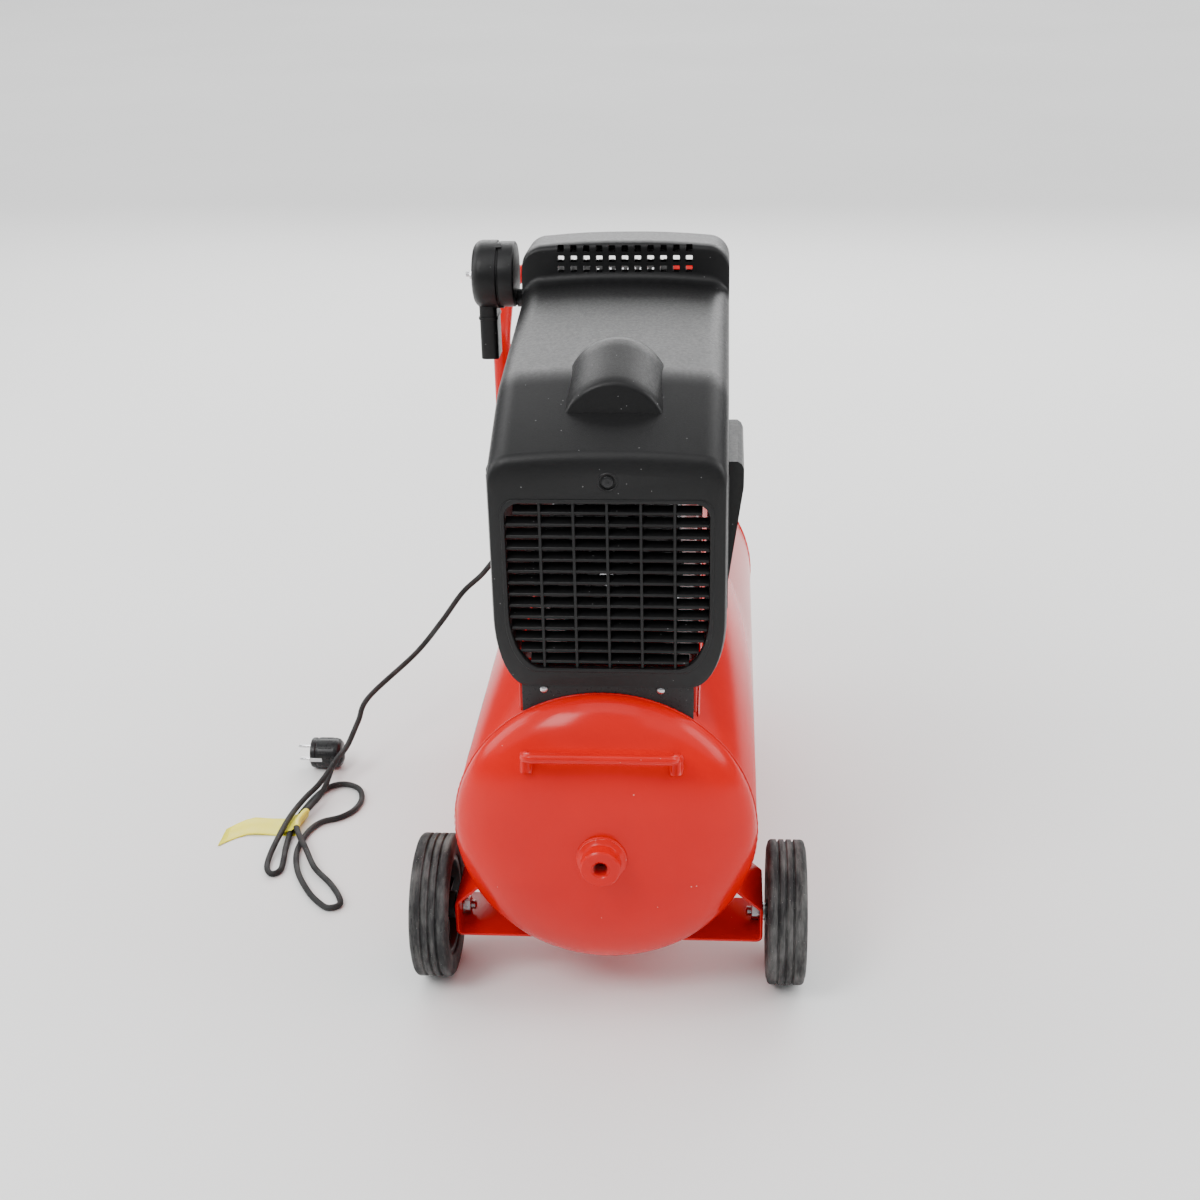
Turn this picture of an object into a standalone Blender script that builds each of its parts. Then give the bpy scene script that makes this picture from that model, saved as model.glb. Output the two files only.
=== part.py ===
"""Wheeled 50 litre air compressor: red tank, direct-drive piston pump, black motor shroud.

Sizes are in millimetres and become metres in place(). Every position is worked out
from the tank: x is across it, y runs along it from the rear seam, and z is up from the floor.
"""
import math

import bmesh
import bpy
from mathutils import Vector

MM = 0.001
SEAM_Y = -312.0            # rear seam of the tank in the part's own frame

# Tank
TANK_R = 150.0
TANK_WALL = 2.5
TANK_Z = 202.4
SHELL_LENGTH = 630.0
DOME = 56.0
PORT_R = 7.0
BOSS_FACE = -76.0
GAP = 0.3

# Wheels and axle
WHEEL_R = 74.5
WHEEL_IN = 162.0
WHEEL_OUT = 202.0
HUB_R = 52.0
AXLE_Y = 45.0
AXLE_R = 5.0
EAR_X = 158.0              # outer face of the axle bracket's ear
STRIP = 3.0                # thickness of the bent strips

# Front foot and handles
FOOT_Y = 585.0
FOOT_X = 85.0
FOOT_TOP = 22.0
HANDLE_R = 11.0
HANDLE_Y = 600.0
HANDLE_LEFT = -161.9
HANDLE_RIGHT = 96.0
HANDLE_TOP = 590.0
GRIP_Y = 685.0
GRIP_R = 15.0
LIFT_R = 5.0

# Pump unit
UNIT_X = 5.0
MOTOR_Z = 465.0
PLATFORM_TOP = 388.0
PLATFORM_HALF = 85.0
PLATFORM_END = 470.0
MOTOR_R = 66.0
MOTOR_START = 80.0
MOTOR_END = 300.0
SHAFT_R = 8.5
FAN_R = 72.0
CYLINDER_Y = 425.0
BORE_R = 24.0
THROW = 18.0
ROD_LENGTH = 95.0
CYLINDER_FOOT = 530.3
CYLINDER_TOP = 606.0
HEAD_TOP = 650.0
HEAD_HALF = 37.0
CASE_R = 62.0
CASE_END = 468.0

# Shroud
SHROUD_HALF = 113.0
SHROUD_FRONT = -5.0
SHROUD_END = 455.0
SHROUD_FOOT = 362.0
SHROUD_WALL = 3.0
BOW_RADIUS = 24.0
CROWN = 5.0
LOWER_WIDTH = 30.0
LOWER_HEIGHT = 70.0
NARROWING = 6.0            # how much closer the left wall stands at the near end
POD_REACH = {-1: 7.0, 1: 14.5}
SCOOP_R = 45.5
SCOOP_X = 12.5
SCOOP_NEAR = (50.0, 600.5)
SCOOP_FAR = (120.0, 621.0)
GRILLE_X = 8.0
BAR_PITCH = 30.9
WINDOW_HALF = 93.5
WINDOW_LOW = 382.0
WINDOW_HIGH = 549.0
WINDOW_CURVE = 58.0
VENT_HALF = 71.5
VENT_HOLE = 7.0
SLATS = 7

# Air filter
FILTER_Z = 652.0
FILTER_R = 37.5
FILTER_BACK = -118.0
FILTER_FACE = -166.0
INTAKE_Z = 625.0

# Controls
RAIL_Y = 555.0
RAIL_Z = 392.0
GAUGE_R = 20.0
GAUGE_X = 60.0
SWITCH_LOW = 400.3
SWITCH_TOP = 470.0

# Mains lead
CORD_R = 3.5
GLAND_END = -56.0
LEAD_Y = 533.0
LEAD_Z = 432.0
PLUG_R = 19.5
PLUG_X = -380.0
PLUG_Y = 449.0
PLUG_Z = 20.0
BOOT_END = 423.0


# ---------------------------------------------------------------- helpers

def clear_scene():
    for item in list(bpy.data.objects):
        bpy.data.objects.remove(item, do_unlink=True)


def material(name, colour, roughness=0.5, metallic=0.0):
    mat = bpy.data.materials.new(name)
    mat.use_nodes = True
    shader = mat.node_tree.nodes["Principled BSDF"]
    shader.inputs["Base Color"].default_value = (*colour, 1.0)
    shader.inputs["Roughness"].default_value = roughness
    shader.inputs["Metallic"].default_value = metallic
    mat.diffuse_color = (*colour, 1.0)
    return mat


def place(point):
    """Turns a millimetre point into the part's frame, in metres."""
    return Vector((point[0], point[1] + SEAM_Y, point[2])) * MM


def finish(name, bm, mat, pivot):
    """Makes one object from a bmesh in world metres, with its origin on the pivot."""
    origin = place(pivot)
    bmesh.ops.translate(bm, verts=bm.verts, vec=-origin)
    bmesh.ops.recalc_face_normals(bm, faces=bm.faces)
    mesh = bpy.data.meshes.new(name)
    bm.to_mesh(mesh)
    bm.free()
    mesh.materials.append(mat)
    mesh.shade_smooth()
    mesh.set_sharp_from_angle(angle=math.radians(35))
    item = bpy.data.objects.new(name, mesh)
    item.location = origin
    bpy.context.scene.collection.objects.link(item)
    return item


def axis_point(axis, centre, radius, angle, along):
    """A point at a radius and angle about a line along x, y or z through the centre."""
    u = radius * math.cos(angle)
    v = radius * math.sin(angle)
    if axis == "x":
        return (along, centre[1] + u, centre[2] + v)
    if axis == "y":
        return (centre[0] + u, along, centre[2] + v)
    return (centre[0] + u, centre[1] + v, along)


def turned(name, profile, axis, centre, mat, segments=24, pivot=None):
    """Turns a closed outline of (radius, distance along the axis) about an axis."""
    bm = bmesh.new()
    rings = []
    for radius, along in profile:
        if radius == 0.0:
            rings.append([bm.verts.new(place(axis_point(axis, centre, 0.0, 0.0, along)))])
            continue
        ring = []
        for step in range(segments):
            angle = 2 * math.pi * step / segments
            ring.append(bm.verts.new(place(axis_point(axis, centre, radius, angle, along))))
        rings.append(ring)
    for first, second in zip(rings, rings[1:] + rings[:1]):
        for step in range(segments):
            after = (step + 1) % segments
            corners = [first[step % len(first)], first[after % len(first)]]
            corners += [second[after % len(second)], second[step % len(second)]]
            unique = list(dict.fromkeys(corners))
            if len(unique) > 2:
                bm.faces.new(unique)
    return finish(name, bm, mat, pivot or centre)


def prism(name, outline, axis, low, high, mat, pivot=None):
    """Extrudes a closed outline along x, y or z; the outline holds the other two coordinates."""
    bm = bmesh.new()
    layers = []
    for along in (low, high):
        layer = []
        for a, b in outline:
            point = {"x": (along, a, b), "y": (a, along, b), "z": (a, b, along)}[axis]
            layer.append(bm.verts.new(place(point)))
        layers.append(layer)
    bm.faces.new(layers[0])
    bm.faces.new(list(reversed(layers[1])))
    count = len(outline)
    for step in range(count):
        after = (step + 1) % count
        bm.faces.new([layers[0][step], layers[1][step], layers[1][after], layers[0][after]])
    return finish(name, bm, mat, pivot or (0, 0, 0))


def block(name, low, high, mat, pivot=None, bevel=0.0, segments=2):
    outline = [(low[0], low[1]), (high[0], low[1]), (high[0], high[1]), (low[0], high[1])]
    item = prism(name, outline, "z", low[2], high[2], mat, pivot)
    if bevel:
        round_edges(item, bevel, segments, lambda edge: True)
    return item


def round_edges(item, width, segments, chosen):
    bm = bmesh.new()
    bm.from_mesh(item.data)
    edges = [edge for edge in bm.edges if chosen(edge)]
    bmesh.ops.bevel(bm, geom=edges, offset=width * MM, segments=segments, profile=0.5, affect="EDGES")
    bmesh.ops.recalc_face_normals(bm, faces=bm.faces)
    bm.to_mesh(item.data)
    bm.free()
    item.data.shade_smooth()
    item.data.set_sharp_from_angle(angle=math.radians(35))


def combine(item, tools, operation):
    """Joins or cuts with other solids, and removes those solids."""
    for tool in tools:
        cut = item.modifiers.new("step", "BOOLEAN")
        cut.operation = operation
        cut.solver = "EXACT"
        cut.object = tool
    bpy.context.view_layer.update()
    graph = bpy.context.evaluated_depsgraph_get()
    mesh = bpy.data.meshes.new_from_object(item.evaluated_get(graph))
    item.modifiers.clear()
    kept = item.data.materials[0]
    item.data = mesh
    item.data.materials.clear()
    item.data.materials.append(kept)
    for polygon in item.data.polygons:
        polygon.material_index = 0
    item.data.shade_smooth()
    item.data.set_sharp_from_angle(angle=math.radians(35))
    for tool in tools:
        bpy.data.objects.remove(tool, do_unlink=True)
    return item


def drill(axis, centre, radius, low, high, segments=20):
    """A plain round solid to join or cut with."""
    profile = [(0.0, low), (radius, low), (radius, high), (0.0, high)]
    return turned("tool", profile, axis, centre, RED, segments)


def smooth_path(route, spacing):
    """Points at an even spacing on a Catmull-Rom curve through the route."""
    ends = [route[0]] + list(route) + [route[-1]]
    dense = []
    for index in range(len(route) - 1):
        p0, p1, p2, p3 = (Vector(point) for point in ends[index:index + 4])
        for step in range(24):
            t = step / 24
            dense.append(0.5 * (2 * p1 + (p2 - p0) * t + (2 * p0 - 5 * p1 + 4 * p2 - p3) * t ** 2
                                + (3 * p1 - p0 - 3 * p2 + p3) * t ** 3))
    dense.append(Vector(route[-1]))
    total = sum((b - a).length for a, b in zip(dense, dense[1:]))
    count = max(2, round(total / spacing))
    points = [dense[0]]
    walked = 0.0
    for a, b in zip(dense, dense[1:]):
        walked += (b - a).length
        if walked >= total / count * len(points) and len(points) < count:
            points.append(b)
    points.append(dense[-1])
    return points


def bent_path(corners, radius, steps=5):
    """A path of straight runs whose corners are rounded with arcs."""
    points = [Vector(corners[0])]
    for before, corner, after in zip(corners, corners[1:], corners[2:]):
        corner = Vector(corner)
        back = (Vector(before) - corner).normalized()
        ahead = (Vector(after) - corner).normalized()
        half = back.angle(ahead) / 2
        reach = radius / math.tan(half)
        centre = corner + (back + ahead).normalized() * (radius / math.sin(half))
        start = corner + back * reach - centre
        stop = corner + ahead * reach - centre
        swing = start.angle(stop)
        for step in range(steps + 1):
            turn = swing * step / steps
            near = start * math.sin(swing - turn)
            points.append(centre + (near + stop * math.sin(turn)) / math.sin(swing))
    points.append(Vector(corners[-1]))
    return points


def rod(name, points, radius, mat, resolution=2):
    """A round bar along a path."""
    curve = bpy.data.curves.new(name, "CURVE")
    curve.dimensions = "3D"
    curve.bevel_depth = radius * MM
    curve.bevel_resolution = resolution
    curve.render_resolution_u = 0
    curve.use_fill_caps = True
    spline = curve.splines.new("POLY")
    spline.points.add(len(points) - 1)
    for target, point in zip(spline.points, points):
        target.co = (*place(point), 1.0)
    curve.materials.append(mat)
    item = bpy.data.objects.new(name, curve)
    bpy.context.scene.collection.objects.link(item)
    return item


def arc(centre, radius, start, stop, steps):
    """Points on a circle, with the angles in degrees."""
    points = []
    for step in range(steps + 1):
        angle = math.radians(start + (stop - start) * step / steps)
        points.append((centre[0] + radius * math.cos(angle), centre[1] + radius * math.sin(angle)))
    return points


def hexagon(centre, across):
    return arc(centre, across / math.sqrt(3), 0, 300, 5)


# ---------------------------------------------------------------- materials

clear_scene()
RED = material("red_paint", (0.75, 0.03, 0.02), 0.25)
BLACK = material("black_plastic", (0.03, 0.03, 0.032), 0.45)
RUBBER = material("black_rubber", (0.02, 0.02, 0.02), 0.8)
ZINC = material("zinc_steel", (0.62, 0.62, 0.64), 0.3, 1.0)
ALLOY = material("cast_aluminium", (0.55, 0.56, 0.57), 0.5, 0.9)
STEEL = material("machined_steel", (0.5, 0.5, 0.52), 0.25, 1.0)
BRASS = material("brass", (0.75, 0.55, 0.25), 0.3, 1.0)
CHROME = material("nickel_plate", (0.8, 0.8, 0.8), 0.15, 1.0)
GLASS = material("sight_glass", (0.75, 0.8, 0.75), 0.1)
KNOB_RED = material("red_plastic", (0.7, 0.05, 0.03), 0.4)
YELLOW = material("yellow_film", (0.9, 0.75, 0.15), 0.5)


# ---------------------------------------------------------------- tank

def dome_profile(sign, seam, hole):
    """A dished tank end from its seam to its pole, or to the port's hole."""
    steps = 6
    outer = []
    inner = []
    for step in range(steps + 1):
        angle = math.radians(90 * step / steps)
        outer.append((TANK_R * math.cos(angle), DOME * math.sin(angle)))
        inner.append(((TANK_R - TANK_WALL) * math.cos(angle), (DOME - TANK_WALL) * math.sin(angle)))
    if hole:
        outer[-1] = (hole, DOME)
        inner[-1] = (hole, DOME - TANK_WALL)
    else:
        outer[-1] = (0.0, DOME)
        inner[-1] = (0.0, DOME - TANK_WALL)
    return [(radius, seam + sign * along) for radius, along in outer + inner[::-1]]


def tank():
    centre = (0, 0, TANK_Z)
    inside = TANK_R - TANK_WALL
    low = GAP / 2
    high = SHELL_LENGTH - GAP / 2
    shell = [(inside, low), (TANK_R, low), (TANK_R, high), (inside, high)]
    turned("tank_shell", shell, "y", centre, RED, 36)
    turned("tank_head_rear", dome_profile(-1, -GAP / 2, PORT_R), "y", centre, RED, 36)
    turned("tank_head_front", dome_profile(1, SHELL_LENGTH + GAP / 2, None), "y", centre, RED, 36)
    ring = -DOME - 2 * GAP
    boss = [(PORT_R, ring), (23.5, ring), (23.5, ring - 3), (19.5, ring - 5)]
    boss += [(19.5, BOSS_FACE + 2), (17.5, BOSS_FACE), (PORT_R, BOSS_FACE)]
    turned("rear_boss", boss, "y", centre, RED, 24)


def lift_handle():
    half = [(-71.5, -43.5, 290.0), (-71.5, -38.5, 306.0), (-70.0, -58.0, 314.0)]
    corners = half + [(-x, y, z) for x, y, z in reversed(half)]
    rod("lift_handle", bent_path(corners, 7.0, 3), LIFT_R, RED, 3)


def axle_bracket(side, name):
    outline = [(60.4, 62.0), (EAR_X - 3, 62.0), (EAR_X, 65.0), (EAR_X, 101.2), (129.9, 125.8)]
    outline += [(128.2, 123.4), (EAR_X - STRIP, 99.8), (EAR_X - STRIP, 65.0), (62.4, 65.0)]
    outline = [(side * x, z) for x, z in outline]
    bracket = prism(name, outline, "y", AXLE_Y - 37, AXLE_Y + 37, RED)
    ends = sorted((side * (EAR_X - 8), side * (EAR_X + 5)))
    combine(bracket, [drill("x", (0, AXLE_Y, WHEEL_R), AXLE_R + GAP, *ends)], "DIFFERENCE")


def wheel(side, label):
    centre = (0, AXLE_Y, WHEEL_R)
    tyre = [(HUB_R + GAP, WHEEL_IN + 2), (WHEEL_R - 5, WHEEL_IN), (WHEEL_R - 1.5, WHEEL_IN + 2)]
    tyre += [(WHEEL_R, WHEEL_IN + 4)]
    tyre += [(WHEEL_R, WHEEL_OUT - 4), (WHEEL_R - 1.5, WHEEL_OUT - 2), (WHEEL_R - 5, WHEEL_OUT)]
    tyre += [(HUB_R + GAP, WHEEL_OUT - 2)]
    hub_in = WHEEL_IN
    hub = [(AXLE_R + 0.4, hub_in), (14, hub_in), (14, 180), (45, 180), (47, 166), (HUB_R, 166)]
    hub += [(HUB_R, 199), (47, 199), (45, 190), (14, 190), (14, 197.4), (AXLE_R + 0.4, 197.4)]
    turned("tyre_" + label, [(r, side * x) for r, x in tyre], "x", centre, RUBBER, 32)
    turned("hub_" + label, [(r, side * x) for r, x in hub], "x", centre, BLACK, 24)
    bolt = [(0, 143.0), (AXLE_R, 143.0), (AXLE_R, 197.8), (9.0, 197.8), (9.0, 201.0), (7.5, 202.0), (0, 202.0)]
    turned("axle_bolt_" + label, [(r, side * x) for r, x in bolt], "x", centre, ZINC, 12)
    ends = sorted((side * (EAR_X - STRIP - GAP), side * 147.5))
    nut = prism("axle_nut_" + label, hexagon((AXLE_Y, WHEEL_R), 17.0), "x", *ends, ZINC)
    hole = drill("x", centre, AXLE_R + GAP, ends[0] - 1, ends[1] + 1)
    combine(nut, [hole], "DIFFERENCE")


def front_foot():
    leg = 113.5
    outline = [(-leg, 99.0), (-leg, 27.3), (-leg + 5, FOOT_TOP + GAP), (leg - 5, FOOT_TOP + GAP)]
    outline += [(leg, 27.3), (leg, 99.0), (leg - STRIP, 99.0), (leg - STRIP, 27.9)]
    outline += [(leg - 5.6, FOOT_TOP + GAP + STRIP), (-leg + 5.6, FOOT_TOP + GAP + STRIP)]
    outline += [(-leg + STRIP, 27.9), (-leg + STRIP, 99.0)]
    prism("foot_bracket", outline, "y", FOOT_Y - 25, FOOT_Y + 25, RED)
    pad = [(0, 0), (18, 0), (20, 2), (20, FOOT_TOP - 3), (17, FOOT_TOP), (0, FOOT_TOP)]
    turned("foot_left", pad, "z", (-FOOT_X, FOOT_Y, 0), RUBBER, 16)
    turned("foot_right", pad, "z", (FOOT_X, FOOT_Y, 0), RUBBER, 16)


def front_handle():
    bend = HANDLE_TOP - 60
    corners = [(HANDLE_LEFT, HANDLE_Y, 232.0), (HANDLE_LEFT, HANDLE_Y, bend)]
    corners += [(HANDLE_LEFT, GRIP_Y, HANDLE_TOP), (HANDLE_RIGHT, GRIP_Y, HANDLE_TOP)]
    shoulder = TANK_Z + math.sqrt(TANK_R ** 2 - (HANDLE_RIGHT - HANDLE_R) ** 2) + GAP
    corners += [(HANDLE_RIGHT, HANDLE_Y, bend), (HANDLE_RIGHT, HANDLE_Y, shoulder)]
    rod("front_handle", bent_path(corners, 34.0, 5), HANDLE_R, RED, 3)
    sleeve = [(HANDLE_R + GAP, -112), (GRIP_R - 1, -112), (GRIP_R, -108), (GRIP_R, 44)]
    sleeve += [(GRIP_R - 1, 48), (HANDLE_R + GAP, 48)]
    turned("handle_grip", sleeve, "x", (0, GRIP_Y, HANDLE_TOP), RUBBER, 16)


# ---------------------------------------------------------------- platform, shroud and grille

def platform():
    top = PLATFORM_TOP
    half = PLATFORM_HALF
    low = TANK_Z + math.sqrt(TANK_R ** 2 - (half - STRIP - UNIT_X) ** 2) + GAP
    outline = [(-half, low), (-half, top), (half, top), (half, low)]
    outline += [(half - STRIP, low), (half - STRIP, top - STRIP), (-half + STRIP, top - STRIP)]
    outline += [(-half + STRIP, low)]
    outline = [(UNIT_X + x, z) for x, z in outline]
    prism("motor_platform", outline, "y", STRIP + GAP, PLATFORM_END, RED)
    plate = [(82.0 + UNIT_X, 375.0), (-82.0 + UNIT_X, 375.0)]
    start = math.degrees(math.acos((-82.0 + UNIT_X) / (TANK_R + GAP)))
    stop = math.degrees(math.acos((82.0 + UNIT_X) / (TANK_R + GAP)))
    plate += arc((0, TANK_Z), TANK_R + GAP + 0.2, start, stop, 12)
    prism("end_plate", plate, "y", 0.0, STRIP, BLACK)


def narrowing(y):
    return NARROWING * (1 - min(1.0, max(0.0, (y - 100) / 285)))


def shroud_section(half, top, foot, left):
    """One cross-section of the shroud in (x, z): crowned top, tall rounded lower corners."""
    points = []
    for side in (1, -1):
        corner = []
        for step in range(5):
            angle = math.radians(90 * step / 4)
            x = half - LOWER_WIDTH + LOWER_WIDTH * math.sin(angle)
            z = foot + LOWER_HEIGHT * (1 - math.cos(angle))
            corner.append((x, z))
        edge = top - CROWN
        for step in range(5):
            angle = math.radians(90 * step / 4)
            x = half - BOW_RADIUS + BOW_RADIUS * math.cos(angle)
            corner.append((x, edge - BOW_RADIUS + BOW_RADIUS * math.sin(angle)))
        corner.append((half * 0.45, top - CROWN * 0.25))
        points += corner if side > 0 else [(-x * left / half, z) for x, z in reversed(corner)]
    return [(UNIT_X + x, z) for x, z in points]


def shroud_loft(inset, label):
    """The shroud's outer solid, or its hollow, as cross-sections joined along y."""
    stations = [(SHROUD_FRONT, 105, 586), (-2.5, 109.5, 592.5), (1, 112, 596.5), (8, SHROUD_HALF, 600)]
    stations += [(105, SHROUD_HALF, 640), (368, SHROUD_HALF, 654.5), (379, SHROUD_HALF, 657.5)]
    stations += [(384.5, SHROUD_HALF, 664), (386.5, SHROUD_HALF, 689), (389, SHROUD_HALF, 694.5)]
    stations += [(395, SHROUD_HALF, 697), (SHROUD_END, SHROUD_HALF, 692)]
    bm = bmesh.new()
    rings = []
    for y, half, top in stations:
        left = half - narrowing(y) - inset
        if inset and (y < 5 or y > 370):
            y += inset
        if inset and y > SHROUD_END:
            y = SHROUD_END + 10
        section = shroud_section(half - inset, top - inset, SHROUD_FOOT + inset, left)
        rings.append([bm.verts.new(place((x, y, z))) for x, z in section])
    count = len(rings[0])
    for first, second in zip(rings, rings[1:]):
        for step in range(count):
            after = (step + 1) % count
            bm.faces.new([first[step], first[after], second[after], second[step]])
    bm.faces.new(rings[0])
    bm.faces.new(list(reversed(rings[-1])))
    return finish(label, bm, BLACK, (0, 0, 0))


def window_outline(edge):
    """The grille opening in (x, z), barrel-shaped at its foot, grown by an edge."""
    half = WINDOW_HALF + edge
    low = WINDOW_LOW - edge
    high = WINDOW_HIGH + edge
    right = []
    for step in range(6):
        angle = math.radians(90 * step / 5)
        x = half - LOWER_WIDTH + LOWER_WIDTH * math.sin(angle)
        right.append((x, low + WINDOW_CURVE * (1 - math.cos(angle))))
    right += arc((half - 14, high - 14), 14, 0, 90, 3)
    return [(GRILLE_X + x, z) for x, z in right] + [(GRILLE_X - x, z) for x, z in reversed(right)]


def pod(side):
    """A bulge that widens upwards on the shroud's side, over the motor's air outlet."""
    reach = POD_REACH[side]
    wall = UNIT_X + side * SHROUD_HALF - min(side, 0) * NARROWING
    outline = [(-8, 430), (0.5, 445), (reach, 545), (reach, 560), (reach - 5, 568), (-8, 568)]
    return prism("tool", [(wall + side * x, z) for x, z in outline], "y", 55.0, 175.0, BLACK)


def scoop(inset):
    """A round-topped bulge that climbs the front slope and ends in a dome."""
    stations = [(SCOOP_NEAR[0] + inset, SCOOP_NEAR[1], SCOOP_R - inset)]
    for angle in (0, 15, 30, 45, 60, 75):
        turn = math.radians(angle)
        reach = (SCOOP_R - inset) * math.sin(turn)
        stations.append((SCOOP_FAR[0] + reach, SCOOP_FAR[1], (SCOOP_R - inset) * math.cos(turn)))
    bm = bmesh.new()
    rings = []
    for y, z, radius in stations:
        outline = arc((SCOOP_X, z), radius, 0, 180, 14)
        rings.append([bm.verts.new(place((x, y, height))) for x, height in outline])
    count = len(rings[0])
    for first, second in zip(rings, rings[1:]):
        for step in range(count):
            after = (step + 1) % count
            bm.faces.new([first[step], first[after], second[after], second[step]])
    bm.faces.new(rings[0])
    bm.faces.new(list(reversed(rings[-1])))
    return finish("tool", bm, BLACK, (0, 0, 0))


def shroud():
    item = shroud_loft(0.0, "shroud")
    pods = [pod(-1), pod(1)]
    combine(item, [scoop(0.0)] + pods, "UNION")
    hollow = shroud_loft(SHROUD_WALL, "tool")
    low = (UNIT_X - 90, SHROUD_FRONT + SHROUD_WALL, SHROUD_FOOT - 10)
    slot = block("tool", low, (UNIT_X + 90, SHROUD_END + 10, SHROUD_FOOT + 11), BLACK)
    tools = [hollow, slot, scoop(SHROUD_WALL)]
    tools.append(prism("tool", window_outline(0.0), "y", SHROUD_FRONT - 5, SHROUD_FRONT + 8, BLACK))
    tools.append(drill("x", (0, CYLINDER_Y, INTAKE_Z), 13.0, UNIT_X - SHROUD_HALF - 10, UNIT_X - 90))
    for row in range(3):
        z = 666.5 + row * 11.0 - VENT_HOLE / 2
        low = (UNIT_X - VENT_HALF, 372, z)
        tools.append(block("tool", low, (UNIT_X + VENT_HALF, 398, z + VENT_HOLE), BLACK))
    combine(item, tools, "DIFFERENCE")


def fan_grille():
    """Uprights and slats in one moulded frame; every second slat is left to the finished look."""
    edge = 5.0
    columns = [-WINDOW_HALF - edge]
    for bar in range(5):
        x = (bar - 2) * BAR_PITCH
        columns += [x - 1.1, x + 1.1]
    columns.append(WINDOW_HALF + edge)
    columns.insert(1, -WINDOW_HALF)
    columns.insert(-1, WINDOW_HALF)
    rows = [WINDOW_LOW - edge, WINDOW_LOW]
    for slat in range(SLATS):
        z = WINDOW_LOW + (slat + 1) * (WINDOW_HIGH - WINDOW_LOW) / (SLATS + 1)
        rows += [z - 1.1, z + 1.1]
    rows += [WINDOW_HIGH, WINDOW_HIGH + edge]
    front = SHROUD_FRONT + SHROUD_WALL + GAP
    back = front + 4.5
    bm = bmesh.new()
    grid = [[[bm.verts.new(place((GRILLE_X + x, y, z))) for z in rows] for x in columns] for y in (front, back)]

    def solid(i, j):
        inside = 0 <= i < len(columns) - 1 and 0 <= j < len(rows) - 1
        return inside and (i % 2 == 0 or j % 2 == 0)

    for i in range(len(columns) - 1):
        for j in range(len(rows) - 1):
            if not solid(i, j):
                continue
            for layer in grid:
                bm.faces.new([layer[i][j], layer[i + 1][j], layer[i + 1][j + 1], layer[i][j + 1]])
            sides = (((i, j), (i, j + 1), (i - 1, j)), ((i + 1, j), (i + 1, j + 1), (i + 1, j)))
            sides += (((i, j), (i + 1, j), (i, j - 1)), ((i, j + 1), (i + 1, j + 1), (i, j + 1)))
            for (a, b), (c, d), other in sides:
                if not solid(*other):
                    bm.faces.new([grid[0][a][b], grid[0][c][d], grid[1][c][d], grid[1][a][b]])
    grille = finish("fan_grille", bm, BLACK, (0, 0, 0))
    trim = prism("tool", window_outline(edge - 0.5), "y", front - 5, back + 5, BLACK)
    combine(grille, [trim], "INTERSECT")
    frame = prism("tool", window_outline(edge - 0.5), "y", front, back, BLACK)
    combine(frame, [prism("tool", window_outline(0.0), "y", front - 5, back + 5, BLACK)], "DIFFERENCE")
    combine(grille, [frame], "UNION")


# ---------------------------------------------------------------- motor and pump

def motor():
    centre = (UNIT_X, 0, MOTOR_Z)
    tube = [(46.0, MOTOR_START), (MOTOR_R, MOTOR_START), (MOTOR_R, MOTOR_END), (46.0, MOTOR_END)]
    housing = turned("motor_housing", tube, "y", centre, ALLOY, 28)
    feet = block("tool", (UNIT_X - 62, 105, PLATFORM_TOP + GAP), (UNIT_X + 62, 275, 418), ALLOY)
    combine(housing, [feet], "UNION")
    combine(housing, [drill("y", centre, 46.0, MOTOR_START - 2, MOTOR_END + 2, 28)], "DIFFERENCE")
    bell_end = MOTOR_START - GAP
    bell = [(SHAFT_R + 0.4, 62), (22, 62), (26, 68), (MOTOR_R, 70), (MOTOR_R, bell_end)]
    bell += [(44, bell_end), (40, 74), (SHAFT_R + 0.4, 74)]
    turned("motor_end_bell", bell, "y", centre, ALLOY, 24)
    pivot = (UNIT_X, 200, MOTOR_Z)
    rotor = [(SHAFT_R + GAP, 110), (45.2, 110), (45.2, 270), (SHAFT_R + GAP, 270)]
    turned("rotor", rotor, "y", centre, STEEL, 20, pivot)
    shaft = [(0, 18), (SHAFT_R - 1, 18), (SHAFT_R, 19), (SHAFT_R, 396), (36, 396), (36, 408), (0, 408)]
    turned("crankshaft", shaft, "y", centre, STEEL, 16, pivot)


def cooling_fan():
    blades = 8
    outline = []
    for blade in range(blades):
        turn = 360 * blade / blades
        for radius, half in ((19, 7), (FAN_R, 1.6)):
            angle = turn - half if radius < FAN_R else turn - half + 4
            outline.append(arc((UNIT_X, MOTOR_Z), radius, angle, angle, 1)[0])
        for radius, half in ((FAN_R, 1.6), (19, 7)):
            angle = turn + half if radius < FAN_R else turn + half + 4
            outline.append(arc((UNIT_X, MOTOR_Z), radius, angle, angle, 1)[0])
    fan = prism("cooling_fan", outline, "y", 22, 50, BLACK, (UNIT_X, 200, MOTOR_Z))
    combine(fan, [drill("y", (UNIT_X, 0, MOTOR_Z), SHAFT_R + GAP, 15, 60)], "DIFFERENCE")


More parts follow.
